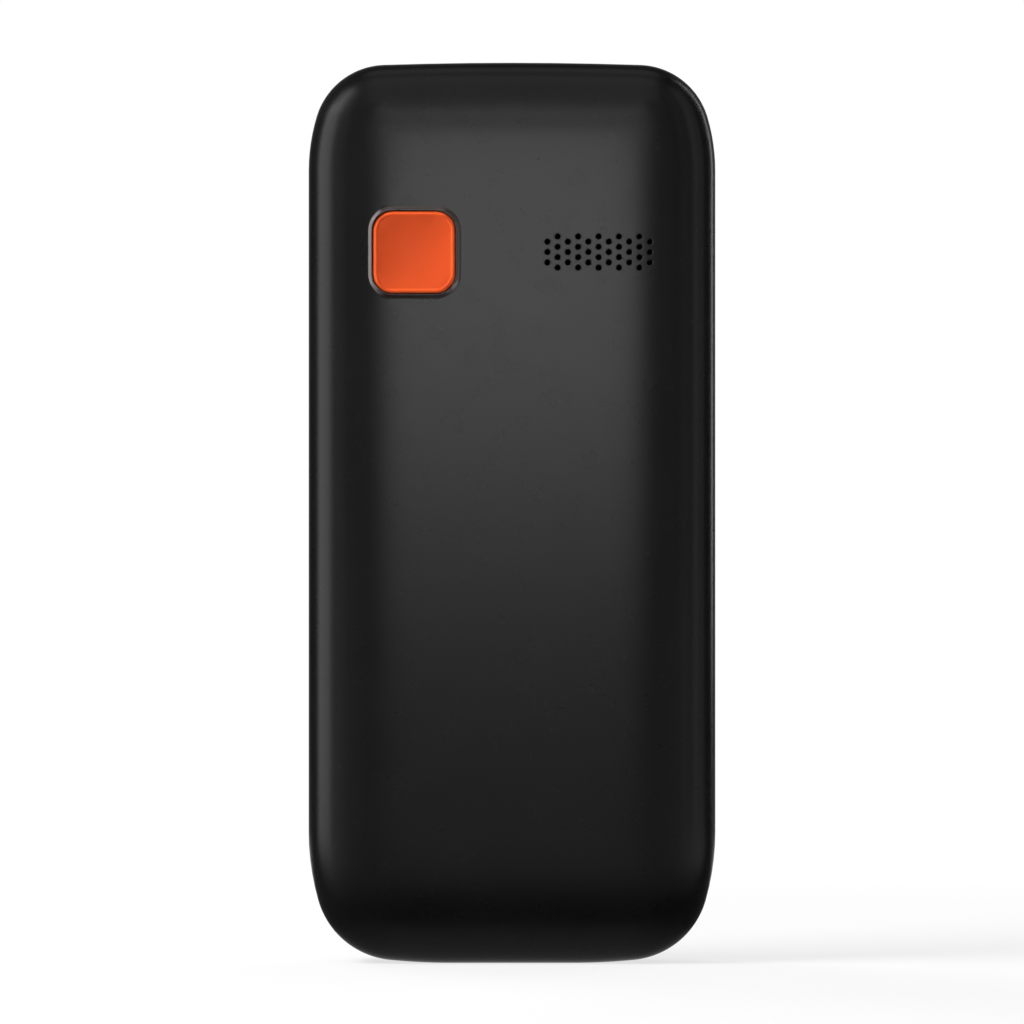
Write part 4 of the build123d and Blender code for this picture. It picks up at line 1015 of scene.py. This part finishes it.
def flat_sign(name, loops, y, paint, body):
    """A printed sign on a key: closed loops as thin prints, joined to its body."""
    shell = Shell()
    for loop in loops:
        edge = np.array(loop)
        shell.solid([at_depth(edge, y + PRINT_THICK), at_depth(edge, y)])
    sign = shell.build(name, [paint])
    sign.data.shade_flat()
    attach(sign, body)


def number_sign(name, text, size, x, z, y, paint, body):
    """A printed number on a key, from the plain built-in letter shapes."""
    curve = bpy.data.curves.new(name, "FONT")
    curve.body = text
    curve.size = size * MM
    curve.offset = 0.018 * size * MM
    curve.resolution_u = 8
    holder = spawn(name + "_curve", curve)
    bpy.context.view_layer.update()
    mesh = bpy.data.meshes.new_from_object(holder.evaluated_get(bpy.context.evaluated_depsgraph_get()))
    bpy.data.objects.remove(holder)
    solid = bmesh.new()
    solid.from_mesh(mesh)
    bmesh.ops.remove_doubles(solid, verts=solid.verts, dist=1e-7)
    points = np.array([v.co for v in solid.verts])
    middle = (points.max(axis=0) + points.min(axis=0)) / 2
    for vertex in solid.verts:
        vertex.co = (vertex.co.x - middle[0] + x * MM, y * MM, vertex.co.y - middle[1] + z * MM)
    raised = bmesh.ops.extrude_face_region(solid, geom=list(solid.faces))["geom"]
    for part in raised:
        if isinstance(part, bmesh.types.BMVert):
            part.co.y += PRINT_THICK * MM
    bmesh.ops.recalc_face_normals(solid, faces=solid.faces)
    solid.to_mesh(mesh)
    solid.free()
    mesh.shade_flat()
    mesh.materials.clear()
    mesh.materials.append(paint)
    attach(spawn(name, mesh), body)


def handset_loop(x, z, turn_deg, size):
    """Outline of a plain telephone handset: an arched grip with a cup at each end."""
    half = [(0.0, 0.42), (0.45, 0.38), (0.85, 0.22), (1.15, -0.05), (1.22, -0.3), (1.1, -0.42),
            (0.72, -0.42), (0.58, -0.34), (0.55, -0.12), (0.3, -0.02), (0.0, 0.02)]
    loop = np.array(half + [(-a, b) for a, b in half[-2:0:-1]])
    c, s = cos(radians(turn_deg)), sin(radians(turn_deg))
    return loop @ np.array([[c, s], [-s, c]]) * size + (x, z)


DIGIT_SIZE = 5.8
STAR_SHARE = 1.35
ONE_HEIGHT = 4.05
ONE_MIDDLE = 0.36
ONE_POINTS = ((0.62, -0.5), (0.38, -0.5), (0.38, 0.2), (0.1, 0.08), (0.1, 0.29), (0.42, 0.5), (0.62, 0.5))
KEY_ROWS = (("key_star", "key_0", "key_hash"), ("key_7", "key_8", "key_9"),
            ("key_4", "key_5", "key_6"), ("key_1", "key_2", "key_3"))
SIDE_KEYS = (("left_soft_key", -1, UPPER_KEY_Z, "black"), ("right_soft_key", 1, UPPER_KEY_Z, "black"),
             ("call_key", -1, LOWER_KEY_Z, "green"), ("end_key", 1, LOWER_KEY_Z, "red"))
SIDE_KEY_HEIGHT = 7.05
HANDSET_SIZE = 1.6
HANDSET_TURNS = {"green": 135, "red": 0}
ARROW_TIP = 6.3
ARROW = ((-1.5, 1.6), (0.0, 0.0), (1.5, 1.6), (1.1, 1.95), (0.0, 0.75), (-1.1, 1.95))


def make_keys(skins, paint):
    """All key caps with their printed signs."""
    made = []
    dark = skins["dark"]
    print_y = CAP_TOP_Y - PRINT_THICK
    for row, names in enumerate(KEY_ROWS):
        for column, name in enumerate(names):
            x, z = (column - 1) * KEY_PITCH_X, LOWEST_KEY_Z + row * KEY_PITCH_Z
            made.append((name, make_cap(name + "_cap", KEY_WIDTH, KEY_HEIGHT, x, z, skins["black"], dark)))
            text = {"star": "*", "hash": "#"}.get(name[4:], name[4:])
            if text == "1":
                loop = [(x + (a - ONE_MIDDLE) * ONE_HEIGHT, z + b * ONE_HEIGHT) for a, b in ONE_POINTS]
                flat_sign(name + "_number", [loop], print_y, paint, name)
            else:
                size = DIGIT_SIZE * (STAR_SHARE if text == "*" else 1.0)
                number_sign(name + "_number", text, size, x, z, print_y, paint, name)
    for name, side, z, skin in SIDE_KEYS:
        x = side * KEY_PITCH_X
        made.append((name, make_cap(name + "_cap", KEY_WIDTH, SIDE_KEY_HEIGHT, x, z, skins[skin], dark)))
        if skin == "black":
            loop = rounded(4.2, 0.7, 0.34, x, z)
        else:
            loop = handset_loop(x, z, HANDSET_TURNS[skin], HANDSET_SIZE)
        flat_sign(name + "_sign", [loop], print_y, paint, name)
    rocker = make_cap("nav_rocker_cap", KEY_WIDTH, CLUSTER_HEIGHT, 0, CLUSTER_Z, skins["grey"], dark,
                      ROCKER_DISH)
    made.append(("nav_rocker", rocker))
    for up in (-1, 1):
        points = [(x, CLUSTER_Z + up * (ARROW_TIP - back)) for x, back in ARROW]
        flat_sign(f"nav_arrow_{up + 2}", [points], CAP_TOP_Y - PRINT_THICK / 2, skins["mark"], "nav_rocker")
    for name, cap in made:
        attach(cap, name)
        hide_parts(name)


# Pieces under the cover and in the top end


def node_box(node):
    """Lowest and highest corners of a node in millimetres."""
    low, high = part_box(node)
    return np.array(low) / MM, np.array(high) / MM


def add_box(shell, low, high, corner, edge, slot=0, steps=4):
    """A rounded box seen along Y: corner radius in x and z, edge radius towards y."""
    turns = [radians(90 * k / steps) for k in range(steps + 1)]
    profile = [(edge * (1 - sin(t)), low[1] + edge * (1 - cos(t))) for t in turns]
    profile += [(edge * (1 - cos(t)), high[1] - edge * (1 - sin(t))) for t in turns]
    shell.solid(stack(high[0] - low[0], high[2] - low[2], lambda i: max(corner - i, 0.05),
                      (low[0] + high[0]) / 2, (low[2] + high[2]) / 2, profile, 5), slot)


BATTERY_CAP = 3.2
CONTACT_PITCH = 2.8
CONTACT_PLACES = (-CONTACT_PITCH, 0.0, CONTACT_PITCH)
LEAF_STEPS = 12


def make_battery(sleeve, plastic, gold):
    """Battery: a rounded cell in a plain sleeve, with an end cap and its three contacts."""
    (x0, y0, z0), (x1, y1, z1) = node_box("battery")
    shell = Shell()
    add_box(shell, (x0, y0, z0), (x1, y1, z1 - BATTERY_CAP), 1.2, 0.8)
    cap_low = (x0 + 0.15, y0 + 0.1, z1 - BATTERY_CAP - 0.5)
    add_box(shell, cap_low, (x1 - 0.15, y1 - 0.1, z1 - 0.02), 0.9, 0.6, 1)
    for x in CONTACT_PLACES:
        add_box(shell, (x - 0.8, y0 + 0.7, z1 - 0.6), (x + 0.8, y0 + 2.9, z1), 0.15, 0.1, 2, 2)
    return shell.build("battery_pack", [sleeve, plastic, gold], 30)


def make_contacts(plastic, gold):
    """Battery contacts: a moulded block with three bowed leaf springs."""
    (x0, y0, z0), (x1, y1, z1) = node_box("battery_contacts")
    foot_z = z0 + 0.25
    shell = Shell()
    add_box(shell, (x0, y0, foot_z), (x1, y1, z1), 0.3, 0.15, 0, 2)
    for x in CONTACT_PLACES:
        add_box(shell, (x - 0.75, y1 - 0.7, foot_z + 0.4), (x + 0.75, y1, z1 - 0.6), 0.1, 0.05, 1, 2)
        outer, inner = [], []
        for k in range(LEAF_STEPS + 1):
            y = y0 + 0.8 + 1.6 * k / LEAF_STEPS
            bow = sin(pi * k / LEAF_STEPS)
            outer.append((y, foot_z + 0.1 - 0.35 * bow))
            inner.append((y, foot_z + 0.22 - 0.3 * bow))
        shell.solid([[(x + side * 0.6, y, z) for y, z in outer + inner[::-1]] for side in (-1, 1)], 1)
    return shell.build("contact_block", [plastic, gold], 30)


def cross_loop(arm, half, x, z):
    """A screw's cross recess as a loop."""
    quarter = [(half, half), (half, arm), (-half, arm), (-half, half)]
    loop = []
    for turn in range(4):
        c, s = cos(turn * pi / 2), sin(turn * pi / 2)
        loop += [(x + a * c - b * s, z + a * s + b * c) for a, b in quarter[:3]]
    return np.array(loop)


SCREW_PLACES = ((20.0, 105.2), (-20.0, 105.2), (17.5, 5.0), (-17.5, 5.0))
SCREW_SIDES = 32
SCREW_FLAT = 1.02
SCREW_RECESS = 0.5


def make_screws(steel):
    """Four pan head screws with cross recesses."""
    low, high = [corner[1] for corner in node_box("chassis_screws")]
    profile = ((1.35, low), (1.4, low + 0.1), (1.4, high - 0.4), (1.34, high - 0.22), (1.2, high - 0.08),
               (SCREW_FLAT, high))
    shell = Shell()
    for x, z in SCREW_PLACES:
        shell.loft([at_depth(round_loop(r, x, z, SCREW_SIDES), y) for r, y in profile], cap_start=True)
        cross = cross_loop(0.72, 0.16, x, z)
        rim = round_loop(SCREW_FLAT, x, z, SCREW_SIDES)
        flat, faces, _ = triangles([rim, cross], [cross], np.zeros((0, 2)))
        ids = shell.add(at_depth(flat, high))
        for face in faces:
            shell.face([ids[k] for k in face])
        floor = (cross - (x, z)) * 0.55 + (x, z)
        shell.loft([at_depth(cross, high), at_depth(floor, high - SCREW_RECESS)], cap_end=True)
    return shell.build("frame_screws", [steel], 30)


def make_cone(film):
    """Loudspeaker cone: an oblong diaphragm with a rolled surround and a shallow dome."""
    (x0, _, z0), (x1, y1, z1) = node_box("loudspeaker_cone")
    profile = [(0.0, -0.32), (0.0, -0.3), (0.25, -0.3)]
    profile += [(0.3 + 0.2 * k, -0.3 + 0.28 * sin(pi * k / 8)) for k in range(9)]
    profile += [(2.0, -0.34), (2.4, -0.34), (2.6, -0.2), (3.2, -0.1), (4.2, -0.04)]
    shell = Shell()
    shell.solid(stack(x1 - x0, z1 - z0, lambda i: max(2.4 - i * 0.5, 0.4), (x0 + x1) / 2, (z0 + z1) / 2,
                      [(inset, y1 + y) for inset, y in profile]))
    return shell.build("speaker_diaphragm", [film], 30)


LENS_SIDES = 40


def make_torch_lens(clear):
    """Torch lens: a clear rod with a shallow domed face."""
    (_, y0, z0), (_, y1, z1) = node_box("torch_lens")
    profile = ((1.45, z0), (1.6, z0 + 0.15), (1.6, z1 - 0.5), (1.52, z1 - 0.3), (1.3, z1 - 0.16),
               (0.9, z1 - 0.06), (0.4, z1))
    shell = Shell()
    shell.solid([[(x, y, z) for x, y in round_loop(radius, 0, (y0 + y1) / 2, LENS_SIDES)]
                 for radius, z in profile])
    return shell.build("torch_dome", [clear], 30)


# Finishes by slot, and the scene itself


def node_finishes():
    """Finishes of the solids that show as they are, by the record's slots."""
    return {
        "gasket_foam": rubbery("foam_black", (0.03, 0.03, 0.03)),
        "pad_foam": rubbery("pad_foam", (0.045, 0.045, 0.045), cell_mm=0.5, height=0.05),
        "lcd_metal": metal("lcd_steel", (0.6, 0.6, 0.61), 0.3),
        "lcd_glass": display_finish(),
        "mesh_metal": woven("speaker_gauze", (0.16, 0.16, 0.16), 0.45),
        "receiver_metal": metal("receiver_steel", (0.58, 0.58, 0.58), 0.3),
        "silicone_grey": rubbery("silicone_grey", (0.2, 0.2, 0.21), 0.5, height=0.004),
        "dome_steel": metal("dome_steel", (0.7, 0.7, 0.7), 0.2, brush_mm=0.3),
        "board_green": board_finish(),
        "can_tin": metal("can_tin", (0.6, 0.6, 0.59), 0.32),
        "port_steel": metal("port_steel", (0.58, 0.58, 0.58), 0.22),
        "black_plastic": moulded("plain_black", (0.012, 0.012, 0.012), 0.5),
        "led_body": moulded("led_body", (0.8, 0.72, 0.35), 0.45, grain_mm=0.1),
        "frame_black": moulded("frame_black", (0.016, 0.016, 0.017), 0.48, grain_mm=0.3, grain_height=0.008,
                               spread=0.03),
        "screw_steel": metal("screw_steel", (0.26, 0.26, 0.27), 0.35, brush_mm=0.3),
        "battery_wrap": sleeve_finish(),
        "contact_gold": metal("contact_gold", (0.83, 0.6, 0.26), 0.25, brush_mm=0.3),
        "magnet_metal": metal("magnet_nickel", (0.6, 0.6, 0.59), 0.18),
        "cone_film": moulded("cone_film", (0.2, 0.15, 0.07), 0.3, grain_height=0.002, Coat_Weight=0.4),
        "motor_steel": metal("motor_steel", (0.6, 0.6, 0.6), 0.26, (30, 30, 1)),
        "weight_steel": metal("weight_alloy", (0.42, 0.4, 0.38), 0.45, brush_mm=0.3, height=0.006),
        "antenna_gold": metal("antenna_gold", (0.8, 0.58, 0.25), 0.33, (30, 1, 1)),
        "lens_clear": clear_finish(),
    }


def add_piece(piece, body, node):
    """Joins a piece to its body, in place of a node."""
    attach(piece, body)
    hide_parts(node)


def finish_nodes(finishes):
    """Gives every carried-over node the finish of its slot."""
    for part in frame["record"]["subparts"]:
        node = frame["nodes"][part["node"]]
        finish = finishes.get(part["material_slot"])
        if finish and not node.hide_render:
            node.data.materials.clear()
            node.data.materials.append(finish)
            node.data.shade_smooth()
            node.data.set_sharp_from_angle(angle=radians(30))


make_camera()
make_lights()
make_world()
make_floor()

finishes = node_finishes()
dark_plastic = moulded("dark_plastic", (0.012, 0.012, 0.012), 0.5)
cover_skin = moulded("cover_satin", (0.0035, 0.0035, 0.0037), 0.27, grain_mm=0.2, grain_height=0.00015,
                     spread=0.005, Specular_IOR_Level=0.2)
# Painted bounce light: the lip's red-brown stands in for orange light thrown on it by the emergency key.
lip_gloss_painted_bounce = moulded("lip_gloss_painted_bounce", (0.02, 0.006, 0.005), 0.25, grain_mm=0.2, grain_height=0.0004,
                    Coat_Weight=0.5, Coat_Roughness=0.2)
housing_skin = moulded("housing_satin", (0.006, 0.006, 0.0065), 0.33, grain_mm=0.2, grain_height=0.0015,
                       Specular_IOR_Level=0.35)
key_skins = {
    "black": moulded("key_gloss", (0.008, 0.008, 0.009), 0.2, grain_height=0.0008),
    "green": moulded("key_green", (0.01, 0.26, 0.05), 0.25, grain_height=0.0008),
    "red": moulded("key_red", (0.48, 0.012, 0.012), 0.25, grain_height=0.0008),
    "grey": moulded("key_silver", (0.32, 0.33, 0.34), 0.3, metal=0.6, grain_height=0.001),
    "mark": moulded("print_dark", (0.02, 0.02, 0.022), 0.5),
    "dark": dark_plastic,
}
white_print = moulded("print_white", (0.78, 0.78, 0.77), 0.5, grain_mm=0.1)

gold, film = finishes["contact_gold"], finishes["cone_film"]
add_piece(make_cover(cover_skin, dark_plastic, lip_gloss_painted_bounce), "cover", "rear_cover")
add_piece(make_sos_key(orange_finish(), dark_plastic), "sos_button", "sos_button")
add_piece(make_housing(housing_skin, dark_plastic), "phone_body", "front_housing")
add_piece(make_window(window_finish()), "phone_body", "display_window")
make_keys(key_skins, white_print)
add_piece(make_battery(finishes["battery_wrap"], dark_plastic, gold), "phone_body", "battery")
add_piece(make_contacts(dark_plastic, gold), "phone_body", "battery_contacts")
add_piece(make_screws(finishes["screw_steel"]), "phone_body", "chassis_screws")
add_piece(make_cone(film), "phone_body", "loudspeaker_cone")
add_piece(make_torch_lens(finishes["lens_clear"]), "phone_body", "torch_lens")
finish_nodes(finishes)
